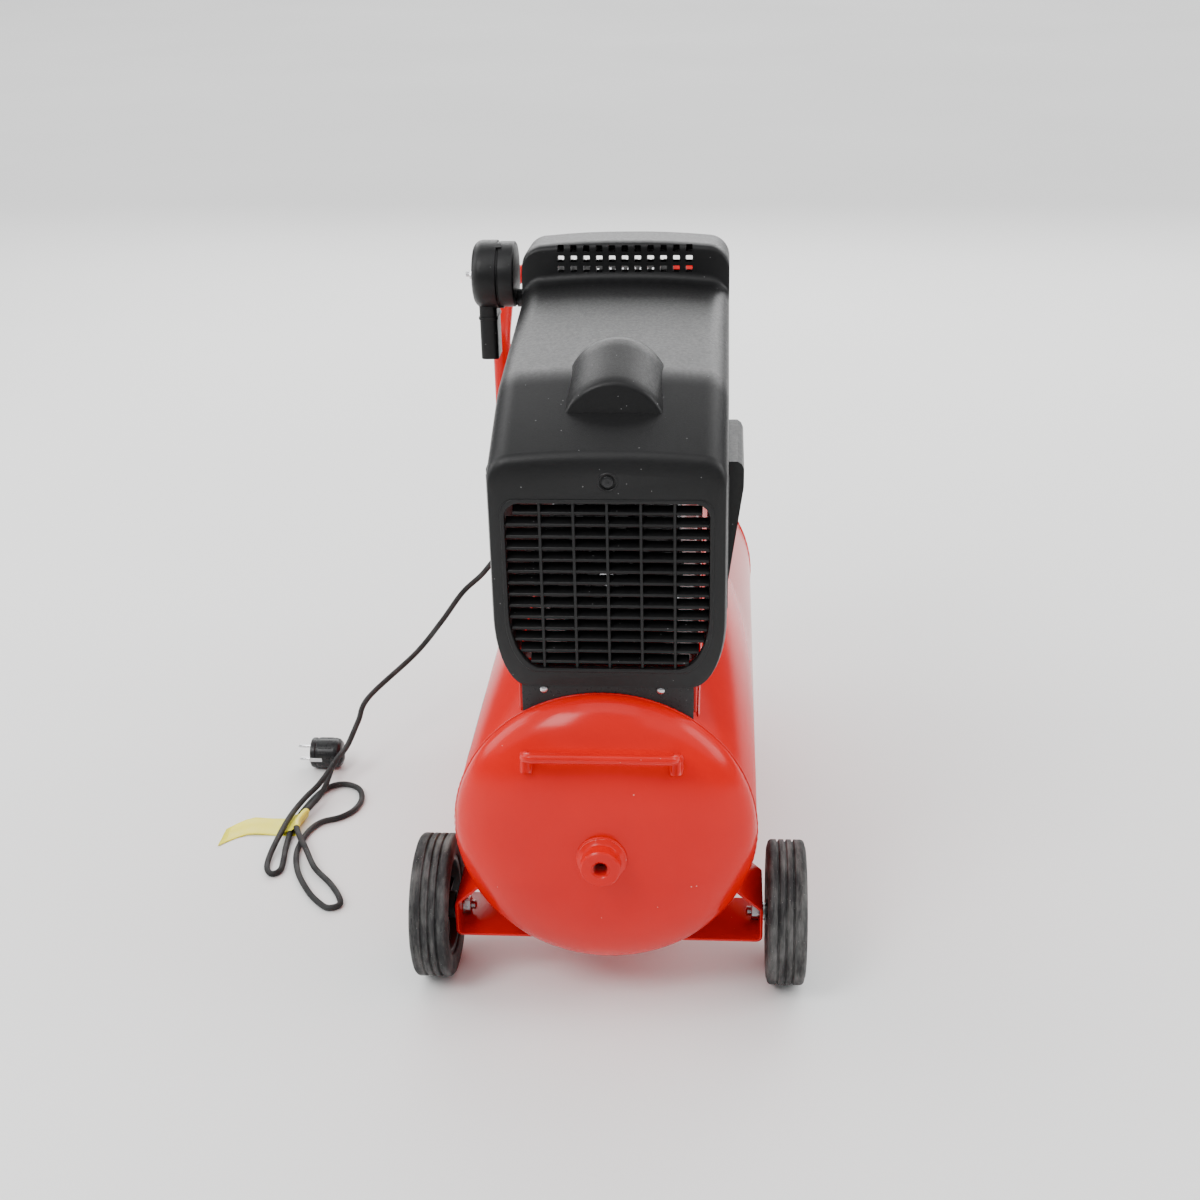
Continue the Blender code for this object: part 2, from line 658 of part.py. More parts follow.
def crankcase():
    centre = (UNIT_X, 0, MOTOR_Z)
    start = MOTOR_END + GAP
    wall = CASE_R - 5
    outline = [(34, start), (MOTOR_R, start), (MOTOR_R, 308), (42, 326), (42, 356), (CASE_R, 372)]
    outline += [(CASE_R, CASE_END), (wall, CASE_END), (wall, 378), (SHAFT_R + 0.4, 378)]
    outline += [(SHAFT_R + 0.4, 350), (34, 350)]
    case = turned("crankcase", outline, "y", centre, ALLOY, 28)
    reach = 40.0
    low = (UNIT_X - reach, CYLINDER_Y - reach, 506)
    high = (UNIT_X + reach, CYLINDER_Y + reach, CYLINDER_FOOT - GAP)
    feet = block("tool", (UNIT_X - 45, 390, PLATFORM_TOP + GAP), (UNIT_X + 45, 460, 420), ALLOY)
    combine(case, [block("tool", low, high, ALLOY), feet], "UNION")
    inside = drill("y", centre, wall, 378.5, CASE_END + 2, 28)
    throat = drill("z", (UNIT_X, CYLINDER_Y, 0), BORE_R + 2, 465, 540, 20)
    combine(case, [inside, throat], "DIFFERENCE")
    face = CASE_END + GAP
    cover = [(0, face), (CASE_R, face), (CASE_R, face + 5), (CASE_R - 3, face + 8), (0, face + 8)]
    turned("crankcase_cover", cover, "y", centre, ALLOY, 24)
    front = face + 8 + GAP
    glass = [(0, front), (13, front), (13, front + 4), (9, front + 6), (0, front + 6)]
    turned("oil_sight_glass", glass, "y", (UNIT_X, 0, 438), GLASS, 14)
    plug = [(0, front), (6, front), (6, front + 10), (11, front + 12), (11, front + 22), (0, front + 22)]
    turned("oil_filler_plug", plug, "y", (UNIT_X + 28, 0, 492), BLACK, 12)


def conrod_and_piston():
    pin_z = MOTOR_Z - THROW
    wrist = pin_z + ROD_LENGTH
    pivot = (UNIT_X, CYLINDER_Y, wrist)
    outline = arc((UNIT_X, wrist), 10, -20, 200, 12) + arc((UNIT_X, pin_z), 13, 150, 390, 12)
    rod_body = prism("connecting_rod", outline, "y", CYLINDER_Y - 6, CYLINDER_Y + 6, ALLOY, pivot)
    combine(rod_body, [drill("y", (UNIT_X, 0, pin_z), 7.0, 408.4, CYLINDER_Y + 8)], "UNION")
    combine(rod_body, [drill("y", pivot, 5.4, CYLINDER_Y - 10, CYLINDER_Y + 10)], "DIFFERENCE")
    low = wrist - 15
    high = wrist + 25
    cup = [(0, high), (BORE_R - GAP, high), (BORE_R - GAP, low), (19, low), (19, high - 7), (0, high - 7)]
    piston = turned("piston", cup, "z", (UNIT_X, CYLINDER_Y, 0), ALLOY, 24, pivot)
    combine(piston, [drill("y", pivot, 5.0, CYLINDER_Y - 21, CYLINDER_Y + 21)], "UNION")


def cylinder_and_head():
    centre = (UNIT_X, CYLINDER_Y, 0)
    outline = [(BORE_R, CYLINDER_FOOT), (38, CYLINDER_FOOT), (38, CYLINDER_FOOT + 7), (31, CYLINDER_FOOT + 8)]
    for fin in range(4):
        z = CYLINDER_FOOT + 15 + fin * 13.5
        outline += [(31, z), (41, z + 0.6), (41, z + 2.6), (31, z + 3.2)]
    outline += [(31, CYLINDER_TOP - 6), (37, CYLINDER_TOP - 5), (37, CYLINDER_TOP), (BORE_R, CYLINDER_TOP)]
    turned("cylinder", outline, "z", centre, ALLOY, 24)
    low = CYLINDER_TOP + GAP
    ends = (UNIT_X - HEAD_HALF, CYLINDER_Y - HEAD_HALF), (UNIT_X + HEAD_HALF, CYLINDER_Y + HEAD_HALF)
    block("valve_plate", (*ends[0], low), (*ends[1], low + 3), STEEL)
    head_low = low + 3 + GAP
    comb = [(UNIT_X - HEAD_HALF, head_low), (UNIT_X + HEAD_HALF, head_low)]
    comb += [(UNIT_X + HEAD_HALF, HEAD_TOP - 14)]
    for fin in range(8):
        x = UNIT_X + HEAD_HALF - 1.5 - fin * 9.6
        comb += [(x, HEAD_TOP - 14), (x - 0.6, HEAD_TOP), (x - 3.0, HEAD_TOP), (x - 3.6, HEAD_TOP - 14)]
    comb += [(UNIT_X - HEAD_HALF, HEAD_TOP - 14)]
    prism("cylinder_head", comb, "y", ends[0][1], ends[1][1], ALLOY)


def intake_and_filter():
    side = UNIT_X - HEAD_HALF - GAP
    start = FILTER_BACK + GAP
    pipe = [(7, side), (10, side), (10, start), (7, start)]
    turned("intake_pipe", pipe, "x", (0, CYLINDER_Y, INTAKE_Z), BLACK, 14)
    centre = (0, CYLINDER_Y, FILTER_Z)
    body = [(0, FILTER_BACK), (FILTER_R, FILTER_BACK), (FILTER_R, FILTER_FACE + 8)]
    body += [(FILTER_R - 3, FILTER_FACE + 2), (FILTER_R - 9, FILTER_FACE), (0, FILTER_FACE)]
    case = turned("air_filter", body, "x", centre, BLACK, 24)
    duct = block("tool", (-160, CYLINDER_Y - 18, 559), (-140, CYLINDER_Y + 18, FILTER_Z), BLACK)
    combine(case, [duct], "UNION")


def discharge():
    side = UNIT_X + HEAD_HALF + GAP
    z = 626.0
    route = [(side, 440, z), (58, 440, z), (80, 448, 622), (88, 468, 604), (88, 490, 570), (84, 500, 500), (80, 500, 430)]
    route.append((80, 500, 372.6))
    rod("discharge_pipe", smooth_path(route, 14), 6.0, ZINC, 2)
    valve = [(0, 337), (9, 337), (9, 344), (13, 345), (13, 358), (10, 360), (10, 372.3), (0, 372.3)]
    turned("check_valve", valve, "z", (80, 500, 0), BRASS, 12)


# ---------------------------------------------------------------- controls at the handle end

def controls():
    neck = [(0, TANK_Z + TANK_R + 2 * GAP), (13, TANK_Z + TANK_R + 2 * GAP), (13, 384), (0, 384)]
    rail = turned("manifold", neck, "z", (UNIT_X, RAIL_Y, 0), BRASS, 16)
    core = block("tool", (UNIT_X - 16, RAIL_Y - 14, 380), (UNIT_X + 16, RAIL_Y + 20, 400), BRASS)
    arms = drill("x", (0, RAIL_Y, RAIL_Z), 6.5, -85.0, 90.0, 16)
    stem = drill("y", (UNIT_X, 0, RAIL_Z), 6.8, RAIL_Y, 599.7, 16)
    combine(rail, [core, arms, stem], "UNION")
    low = (UNIT_X - 38, RAIL_Y - 36, SWITCH_LOW)
    high = (UNIT_X + 38, RAIL_Y + 38, SWITCH_TOP)
    block("pressure_switch", low, high, BLACK, bevel=4.0)
    knob = [(0, SWITCH_TOP + GAP), (14, SWITCH_TOP + GAP), (14, SWITCH_TOP + 12), (11, SWITCH_TOP + 16)]
    knob.append((0, SWITCH_TOP + 16))
    turned("switch_knob", knob, "z", (UNIT_X, RAIL_Y, 0), KNOB_RED, 16, (UNIT_X, RAIL_Y, SWITCH_TOP))
    dial = [(0, 600), (13, 600), (16, 604), (16, 622), (13, 625), (0, 625)]
    turned("regulator_knob", dial, "y", (UNIT_X, 612, RAIL_Z), BLACK, 16, (UNIT_X, 612, RAIL_Z))
    for label, x in (("outlet", -GAUGE_X), ("tank", GAUGE_X + 2 * UNIT_X)):
        gauge(label, x)
    valve = [(0, -85.3), (8, -85.3), (8, -96), (6, -98), (6, -110), (0, -110)]
    turned("safety_valve", valve, "x", (0, RAIL_Y, RAIL_Z), BRASS, 12)
    ring = [(0, -110.3), (3, -110.3), (9, -113), (9, -115), (0, -115)]
    turned("safety_ring", ring, "x", (-112, RAIL_Y, RAIL_Z), CHROME, 12)
    body = [(4, 90.3), (10, 90.3), (10, 98), (6, 98), (6, 117), (4, 117)]
    turned("quick_coupler", body, "x", (0, RAIL_Y, RAIL_Z), CHROME, 14)
    sleeve = [(6.4, 101.6), (12, 101.6), (12, 115), (6.4, 115)]
    turned("coupler_sleeve", sleeve, "x", (105, RAIL_Y, RAIL_Z), CHROME, 14)


def gauge(label, x):
    back = RAIL_Y + 6.8
    rim = [(0, back), (GAUGE_R - 2, back), (GAUGE_R, back + 2), (GAUGE_R, back + 22), (GAUGE_R - 2, back + 22)]
    rim += [(GAUGE_R - 2, back + 15), (0, back + 15)]
    turned("gauge_" + label, rim, "y", (x, 0, RAIL_Z), CHROME, 14)
    face = back + 16
    zero = Vector((math.sin(math.radians(135)), math.cos(math.radians(135))))
    across = Vector((zero.y, -zero.x))
    outline = [Vector((x, RAIL_Z)) + zero * a + across * b for a, b in ((-4, -1.8), (-4, 1.8), (13, 0.8), (13, -0.8))]
    pivot = (x, face, RAIL_Z)
    prism("needle_" + label, outline, "y", face, face + 1, KNOB_RED, pivot)


def drain():
    top = TANK_Z - TANK_R - GAP
    body = [(0, top), (7, top), (7, 34), (0, 34)]
    turned("drain_valve", body, "z", (0, 300, 0), BRASS, 12)
    knob = [(0, 33.7), (8, 33.7), (9, 32), (9, 25), (0, 25)]
    turned("drain_knob", knob, "z", (0, 300, 30), CHROME, 12, (0, 300, 30))


# ---------------------------------------------------------------- mains lead

LEAD_ROUTE = [
    (GLAND_END - GAP, LEAD_Y, LEAD_Z), (-84, LEAD_Y, 428), (-118, 535, 396), (-147, 542, 330),
    (-166, 548, 272), (-192, 552, 232), (-222, 553, 202), (-252, 553, 160), (-290, 554, 112),
    (-339, 476, 88), (-350, 451, 66), (-360, 422, 46), (-368, 400, 41), (-376, 381, 33),
    (-387, 365, 22), (-400, 343, 15.5), (-410, 306, 12), (-415, 255, 9), (-417, 225, 4.6),
    (-414, 206, 3.9), (-406, 196, 3.9), (-398, 204, 3.9), (-399, 224, 3.9), (-403, 255, 3.9),
    (-405, 300, 3.9), (-398, 345, 3.9), (-389, 376, 3.9), (-376, 394, 3.9), (-359, 398, 3.9),
    (-341, 387, 3.9), (-333, 362, 3.9), (-338, 337, 3.9), (-352, 320, 3.9), (-371, 310, 3.9),
    (-382, 292, 3.9), (-387, 264, 3.9), (-386, 234, 3.9), (-375, 198, 3.9), (-355, 162, 3.9),
    (-339, 142, 3.9), (-326, 132, 3.9), (-314, 138, 3.9), (-318, 154, 3.9), (-334, 180, 3.9),
    (-358, 208, 6), (-377, 244, 10), (-389, 266, 12.2), (-398, 292, 12.2), (-393, 320, 12.2),
    (-385, 350, 12.6), (-381, 375, 14.5), (PLUG_X, 400, 18.6), (PLUG_X, BOOT_END - GAP, PLUG_Z),
]


def mains_lead():
    wall = UNIT_X - 38 - GAP
    gland = [(0, wall), (9, wall), (9, wall - 6), (6.5, wall - 9), (4.5, GLAND_END), (0, GLAND_END)]
    turned("cord_gland", gland, "x", (0, LEAD_Y, LEAD_Z), BLACK, 16)
    rod("mains_cord", smooth_path(LEAD_ROUTE, 9), CORD_R, RUBBER, 1)
    tail = -372.6
    body = [(0, tail), (13, tail), (PLUG_R, tail - 8), (PLUG_R, tail - 40), (0, tail - 40)]
    plug = turned("mains_plug", body, "x", (0, PLUG_Y, PLUG_Z), RUBBER, 20)
    extras = [drill("y", (PLUG_X, 0, PLUG_Z), 6.5, BOOT_END, PLUG_Y, 12)]
    for offset in (-9.5, 9.5):
        extras.append(drill("x", (0, PLUG_Y, PLUG_Z + offset), 2.4, tail - 58, tail - 38, 10))
    combine(plug, extras, "UNION")
    outline = [(-488, 246), (-424, 256), (-423, 300), (-430, 322), (-490, 306)]
    prism("cord_tag", outline, "z", 0.3, 1.1, YELLOW)


tank()
lift_handle()
for side_sign, side_name in ((-1, "left"), (1, "right")):
    axle_bracket(side_sign, "axle_bracket_" + side_name)
    wheel(side_sign, side_name)
front_foot()
front_handle()
platform()
shroud()
fan_grille()
motor()
cooling_fan()
crankcase()
conrod_and_piston()
cylinder_and_head()
intake_and_filter()
discharge()
controls()
drain()
mains_lead()
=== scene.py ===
"""Looks for the wheeled air compressor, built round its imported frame.

Sizes are in millimetres in the tank's frame: x across, y from the rear seam, z up from the
floor. place() turns a point into metres in the row frame, from the tank_shell node.
"""
import math
import random

import bmesh
import bpy
from mathutils import Euler, Matrix, Vector


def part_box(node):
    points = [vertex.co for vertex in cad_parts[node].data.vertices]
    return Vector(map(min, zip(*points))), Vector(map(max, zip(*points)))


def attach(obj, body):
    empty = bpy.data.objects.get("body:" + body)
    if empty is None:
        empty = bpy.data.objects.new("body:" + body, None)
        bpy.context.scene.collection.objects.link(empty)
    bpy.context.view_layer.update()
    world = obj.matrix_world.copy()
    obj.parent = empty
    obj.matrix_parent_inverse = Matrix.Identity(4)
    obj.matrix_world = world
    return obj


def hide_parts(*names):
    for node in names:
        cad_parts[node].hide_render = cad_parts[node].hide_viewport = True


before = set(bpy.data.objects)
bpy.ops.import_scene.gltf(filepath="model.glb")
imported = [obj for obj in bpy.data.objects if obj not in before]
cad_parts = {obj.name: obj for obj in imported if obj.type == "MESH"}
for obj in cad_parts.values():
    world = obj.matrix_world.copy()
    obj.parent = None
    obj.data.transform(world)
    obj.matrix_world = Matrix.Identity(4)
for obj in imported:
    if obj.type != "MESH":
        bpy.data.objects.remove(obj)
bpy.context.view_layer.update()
MM = 0.001
SIDES = ((-1, "left"), (1, "right"))


# ---------------------------------------------------------------- places

def span(node):
    """Lowest and highest corner of a node, in millimetres in the row frame."""
    low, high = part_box(node)
    return Vector(low) / MM, Vector(high) / MM


TANK_LOW, TANK_HIGH = span("tank_shell")
SEAM = TANK_LOW.y - 0.15
TANK_Z = (TANK_LOW.z + TANK_HIGH.z) / 2
TANK_R = (TANK_HIGH.z - TANK_LOW.z) / 2
SHELL_LENGTH = 630.0
DOME = 56.0
PORT_R = 7.0
BOSS_FACE = -76.0

WHEEL_IN = 162.0
WHEEL_OUT = 202.0
WHEEL_R = 74.5
HUB_R = 52.0
AXLE_R = 5.0
AXLE_Y = 45.0
AXLE_HOLE = 5.4
EAR_X = 158.0
STRIP = 3.0
TANK_WALL = 2.5
LIFT_X = 71.5

UNIT_X = 5.0
MOTOR_Z = 465.0
PLATFORM_TOP = 388.0
MOTOR_R = 66.0
MOTOR_START = 80.0
MOTOR_END = 300.0
STATOR_START = 118.0
STATOR_END = 262.0
STATOR_BORE = 46.5
SHAFT_R = 8.5
FAN_R = 71.5
FAN_ROOT = 18.8
CYLINDER_Y = 425.0
BORE_R = 24.0
CYLINDER_FOOT = 530.3
CYLINDER_TOP = 606.0
HEAD_TOP = 650.0
HEAD_HALF = 37.0
CASE_R = 62.0
CASE_END = 468.0
CASE_FACE = CASE_END + 8.3
SIGHT_Z = 438.0

SHROUD_HALF = 113.0
SHROUD_FRONT = -5.0
SHROUD_END = 455.0
SHROUD_FOOT = 362.0
SHROUD_WALL = 3.0
NARROWING = 6.0
POD_REACH = {-1: 7.0, 1: 14.5}
SCOOP_R = 49.0
SCOOP_X = 12.5
SCOOP_NEAR = (50.0, 597.0)
SCOOP_FAR = (120.0, 617.0)
GRILLE_X = 8.0
BAR_PITCH = 30.9
WINDOW_HALF = 93.5
WINDOW_LOW = 382.0
WINDOW_HIGH = 549.0
WINDOW_CURVE = 58.0
LOWER_WIDTH = 30.0
LOWER_HEIGHT = 70.0
BOW_RADIUS = 24.0
CROWN = 5.0
BADGE_X = 9.5
BADGE_Z = 570.0
BADGE_R = 7.6

FILTER_Z = 652.0
FILTER_R = 37.5
FILTER_BACK = -118.0
FILTER_FACE = -166.0
INTAKE_Z = 625.0

PIPE_X = 80.0
PIPE_Y = 500.0
DRAIN_Y = 300.0
FOOT_X = 85.0
FOOT_Y = 585.0

RAIL_Y = 555.0
RAIL_Z = 392.0
SWITCH_LOW = 400.3
SWITCH_TOP = 470.0
SWITCH_HALF = 38.0
CORD_R = 3.5
LEAD_Y = 533.0
LEAD_Z = 432.0
PLUG_Y = 449.0
PLUG_R = 19.5
PLUG_X = -380.0
PLUG_Z = 20.0
BOOT_END = 423.0


def place(point):
    return Vector((point[0], point[1] + SEAM, point[2])) * MM


# ---------------------------------------------------------------- camera, floor and light

LENS = 50.82
EYE = (0.11187, -1.73687, 1.11567)
EYE_TURN = 4.4946
EYE_DOWN = 24.94
EYE_ROLL = -1.3426


def camera():
    data = bpy.data.cameras.new("camera")
    data.sensor_width = 36.0
    data.lens = LENS
    data.clip_end = 50.0
    item = bpy.data.objects.new("camera", data)
    turn = Matrix.Rotation(math.radians(EYE_TURN), 3, "Z")
    tilt = Matrix.Rotation(math.radians(90 - EYE_DOWN), 3, "X")
    roll = Matrix.Rotation(math.radians(EYE_ROLL), 3, "Z")
    item.matrix_world = Matrix.Translation(EYE) @ (turn @ tilt @ roll).to_4x4()
    bpy.context.scene.collection.objects.link(item)
    bpy.context.scene.camera = item


def area_light(name, spot, aim, size, power):
    data = bpy.data.lights.new(name, "AREA")
    data.shape = "RECTANGLE"
    data.size, data.size_y = size
    data.energy = power
    item = bpy.data.objects.new(name, data)
    item.location = spot
    item.rotation_euler = (Vector(aim) - Vector(spot)).to_track_quat("-Z", "Y").to_euler()
    bpy.context.scene.collection.objects.link(item)


def studio():
    world = bpy.data.worlds.new("studio")
    world.use_nodes = True
    back = world.node_tree.nodes["Background"]
    back.inputs["Color"].default_value = (0.93, 0.95, 1.0, 1.0)
    back.inputs["Strength"].default_value = 0.24
    bpy.context.scene.world = world
    area_light("key", (-1.5, -1.9, 2.7), (0, 0, 0.3), (1.1, 1.1), 46)
    area_light("back", (0.1, 3.0, 1.75), (0, 0, 0.75), (4.4, 1.7), 80)
    area_light("left", (-2.9, 0.2, 1.6), (0, 0, 0.35), (1.4, 1.8), 34)
    area_light("right", (2.9, -0.3, 1.8), (0, 0, 0.35), (1.4, 1.8), 38)
    sides = (("north", 0, 11, 1400), ("south", 0, -11, 380), ("east", 11, 0, 900), ("west", -11, 0, 900))
    for name, x, y, power in sides:
        area_light("far_" + name, (x, y, 6.5), (x * 0.9, y * 0.9, 0), (16.0, 16.0), power)
    area_light("roof", (0.0, -1.0, 3.6), (0, 0, 0.2), (2.4, 2.0), 30)
    mesh = bpy.data.meshes.new("floor")
    reach = 40.0
    corners = [(-reach, -reach, 0), (reach, -reach, 0), (reach, reach, 0), (-reach, reach, 0)]
    mesh.from_pydata(corners, [], [(0, 1, 2, 3)])
    item = bpy.data.objects.new("floor", mesh)
    bpy.context.scene.collection.objects.link(item)
    paint = Paint("floor_white", (0.86, 0.86, 0.85), 0.75)
    paint.vary("Base Color", 0.6, (0.84, 0.84, 0.83), (0.88, 0.88, 0.87))
    mesh.materials.append(paint.mat)


# ---------------------------------------------------------------- materials

class Paint:
    """A Principled material with helpers for its procedural detail, in object space."""

    def __init__(self, name, colour, roughness, metallic=0.0, **sockets):
        self.mat = bpy.data.materials.new(name)
        self.mat.use_nodes = True
        self.tree = self.mat.node_tree
        self.shader = self.tree.nodes["Principled BSDF"]
        self.shader.inputs["Base Color"].default_value = (*colour, 1.0)
        self.shader.inputs["Roughness"].default_value = roughness
        self.shader.inputs["Metallic"].default_value = metallic
        for key, value in sockets.items():
            self.shader.inputs[key.replace("_", " ")].default_value = value
        self.mat.diffuse_color = (*colour, 1.0)
        self.coords = self.node("ShaderNodeTexCoord").outputs["Object"]
        self.normal = None

    def node(self, kind, **values):
        item = self.tree.nodes.new(kind)
        for key, value in values.items():
            setattr(item, key, value)
        return item

    def link(self, start, end):
        self.tree.links.new(start, end)

    def stretched(self, scale):
        mapping = self.node("ShaderNodeMapping")
        mapping.inputs["Scale"].default_value = scale
        self.link(self.coords, mapping.inputs["Vector"])
        return mapping.outputs["Vector"]

    def noise(self, scale, detail=3.0, rough=0.5, stretch=None):
        item = self.node("ShaderNodeTexNoise")
        item.inputs["Scale"].default_value = scale
        item.inputs["Detail"].default_value = detail
        item.inputs["Roughness"].default_value = rough
        self.link(self.stretched(stretch) if stretch else self.coords, item.inputs["Vector"])
        return item.outputs["Fac"]

    def ramp(self, factor, low, high, start=0.35, stop=0.65):
        item = self.node("ShaderNodeValToRGB")
        item.color_ramp.elements[0].position = start
        item.color_ramp.elements[1].position = stop
        item.color_ramp.elements[0].color = (*low, 1.0)
        item.color_ramp.elements[1].color = (*high, 1.0)
        self.link(factor, item.inputs["Fac"])
        return item.outputs["Color"]

    def vary(self, socket, scale, low, high, start=0.35, stop=0.65, **options):
        """Drives a socket between two values, numbers or colours, by noise."""
        if isinstance(low, (int, float)):
            low, high = (low,) * 3, (high,) * 3
        self.link(self.ramp(self.noise(scale, **options), low, high, start, stop), self.shader.inputs[socket])

    def mix(self, factor, first, second):
        item = self.node("ShaderNodeMix", data_type="RGBA")
        self.link(factor, item.inputs["Factor"])
        for value, target in ((first, item.inputs["A"]), (second, item.inputs["B"])):
            if isinstance(value, tuple):
                target.default_value = (*value, 1.0)
            else:
                self.link(value, target)
        return item.outputs["Result"]

    def speckle(self, base, colour, scale, share):
        """Lays small spots of a colour over a base colour output."""
        spots = self.node("ShaderNodeTexVoronoi")
        spots.inputs["Scale"].default_value = scale
        self.link(self.coords, spots.inputs["Vector"])
        gate = self.noise(scale * 0.13, 2.0)
        mask = self.node("ShaderNodeMath", operation="LESS_THAN")
        limit = self.node("ShaderNodeMath", operation="MULTIPLY")
        self.link(gate, limit.inputs[0])
        limit.inputs[1].default_value = share
        self.link(spots.outputs["Distance"], mask.inputs[0])
        self.link(limit.outputs[0], mask.inputs[1])
        return self.mix(mask.outputs[0], base, colour)

    def edge_wear(self, base, colour, low=0.6, high=0.7):
        """Shows a colour on convex edges, through the pointiness of the mesh."""
        surface = self.node("ShaderNodeNewGeometry")
        noise = self.noise(60.0, 4.0)
        total = self.node("ShaderNodeMath", operation="MULTIPLY_ADD")
        self.link(noise, total.inputs[0])
        total.inputs[1].default_value = 0.08
        self.link(surface.outputs["Pointiness"], total.inputs[2])
        mask = self.ramp(total.outputs[0], (0, 0, 0), (1, 1, 1), low + 0.04, high + 0.04)
        return self.mix(mask, base, colour)

    def colour(self, output):
        self.link(output, self.shader.inputs["Base Color"])

    def bump(self, height, strength, distance):
        item = self.node("ShaderNodeBump")
        item.inputs["Strength"].default_value = strength
        item.inputs["Distance"].default_value = distance
        self.link(height, item.inputs["Height"])
        if self.normal:
            self.link(self.normal, item.inputs["Normal"])
        self.normal = item.outputs["Normal"]
        self.link(self.normal, self.shader.inputs["Normal"])


def gloss_red():
    paint = Paint("red_powder_coat", (0.62, 0.002, 0.001), 0.2, Specular_IOR_Level=0.22)
    base = paint.ramp(paint.noise(5.0, 4.0), (0.58, 0.0015, 0.001), (0.66, 0.003, 0.002))
    paint.colour(paint.speckle(base, (0.62, 0.30, 0.27), 46.0, 0.05))
    paint.vary("Roughness", 9.0, 0.16, 0.22, 0.1, 0.9, detail=2.0)
    paint.bump(paint.noise(90.0, 2.0), 0.05, 0.0005)
    return paint.mat


def worn_red(name="red_coat_worn", low=0.6, high=0.7):
    """The same coat on handles, brackets and the boss, paler along convex edges: rubbed through on handles
    and brackets, with wider pale bands on the boss.
    """
    paint = Paint(name, (0.6, 0.002, 0.001), 0.26, Specular_IOR_Level=0.22)
    base = paint.ramp(paint.noise(9.0, 4.0), (0.54, 0.0015, 0.001), (0.64, 0.003, 0.002))
    base = paint.edge_wear(base, (0.68, 0.42, 0.38), low, high)
    paint.colour(paint.speckle(base, (0.55, 0.28, 0.25), 120.0, 0.10))
    paint.vary("Roughness", 22.0, 0.2, 0.3, 0.1, 0.9, detail=2.0)
    paint.bump(paint.noise(190.0, 3.0), 0.12, 0.0006)
    return paint.mat


def moulded_black(name="black_moulded", tone=0.0045, rough=0.4, grain=0.3):
    paint = Paint(name, (tone, tone, tone * 1.06), rough, Specular_IOR_Level=0.3)
    low = (tone * 0.85, tone * 0.85, tone * 0.9)
    high = (tone * 1.25, tone * 1.25, tone * 1.32)
    base = paint.ramp(paint.noise(12.0, 5.0), low, high)
    paint.colour(paint.speckle(base, (0.13, 0.13, 0.13), 90.0, 0.09))
    paint.vary("Roughness", 300.0, rough - 0.04, rough + 0.05, detail=3.0)
    paint.bump(paint.noise(1300.0, 2.0), grain, 0.0004)
    return paint.mat


def dusty_rubber(name, tone=0.02, dust=0.11, stretch=None):
    paint = Paint(name, (tone, tone, tone), 0.75)
    dark = (tone, tone, tone * 1.03)
    grey = (dust, dust * 0.98, dust * 0.94)
    base = paint.ramp(paint.noise(36.0, 6.0, 0.65, stretch), dark, grey, 0.42, 0.78)
    paint.colour(paint.speckle(base, (0.32, 0.31, 0.29), 260.0, 0.12))
    paint.vary("Roughness", 40.0, 0.62, 0.9, detail=4.0)
    paint.bump(paint.noise(700.0, 4.0), 0.35, 0.0006)
    return paint.mat


def plated(name, colour, rough, scale=90.0):
    paint = Paint(name, colour, rough, 1.0)
    low = tuple(c * 0.8 for c in colour)
    base = paint.ramp(paint.noise(scale * 0.5, 5.0), low, colour)
    paint.colour(paint.speckle(base, tuple(c * 0.5 for c in colour), scale * 4, 0.08))
    paint.vary("Roughness", scale, rough * 0.7, rough * 1.6, detail=5.0)
    paint.bump(paint.noise(scale * 6, 3.0), 0.12, 0.0003)
    return paint.mat


def cast_alloy():
    paint = Paint("cast_alloy", (0.50, 0.51, 0.52), 0.5, 0.9)
    base = paint.ramp(paint.noise(18.0, 6.0), (0.36, 0.37, 0.38), (0.58, 0.59, 0.6))
    paint.colour(paint.speckle(base, (0.15, 0.14, 0.13), 260.0, 0.08))
    paint.vary("Roughness", 50.0, 0.42, 0.68, detail=4.0)
    paint.bump(paint.noise(520.0, 4.0), 0.5, 0.0006)
    return paint.mat


def machined(name, stretch):
    paint = Paint(name, (0.5, 0.5, 0.52), 0.28, 1.0)
    paint.vary("Base Color", 30.0, (0.42, 0.42, 0.44), (0.6, 0.6, 0.62))
    paint.vary("Roughness", 120.0, 0.2, 0.4, stretch=stretch)
    paint.bump(paint.noise(900.0, 2.0, 0.5, stretch), 0.25, 0.0002)
    return paint.mat


def clear_window():
    paint = Paint("clear_window", (0.92, 0.95, 0.93), 0.06, Transmission_Weight=0.92, IOR=1.49)
    paint.vary("Roughness", 80.0, 0.03, 0.12)
    paint.bump(paint.noise(30.0), 0.04, 0.001)
    return paint.mat


def red_moulded():
    paint = Paint("red_moulded", (0.66, 0.03, 0.02), 0.36)
    paint.vary("Base Color", 25.0, (0.58, 0.022, 0.016), (0.72, 0.04, 0.026))
    paint.vary("Roughness", 60.0, 0.3, 0.46)
    paint.bump(paint.noise(900.0), 0.12, 0.0003)
    return paint.mat


def film(name, colour, rough=0.42):
    paint = Paint(name, colour, rough)
    low = tuple(c * 0.88 for c in colour)
    base = paint.ramp(paint.noise(20.0, 5.0), low, colour)
    paint.colour(paint.speckle(base, tuple(c * 0.6 for c in colour), 330.0, 0.07))
    paint.vary("Roughness", 40.0, rough - 0.08, rough + 0.1)
    paint.bump(paint.noise(70.0, 4.0), 0.15, 0.0008)
    return paint.mat


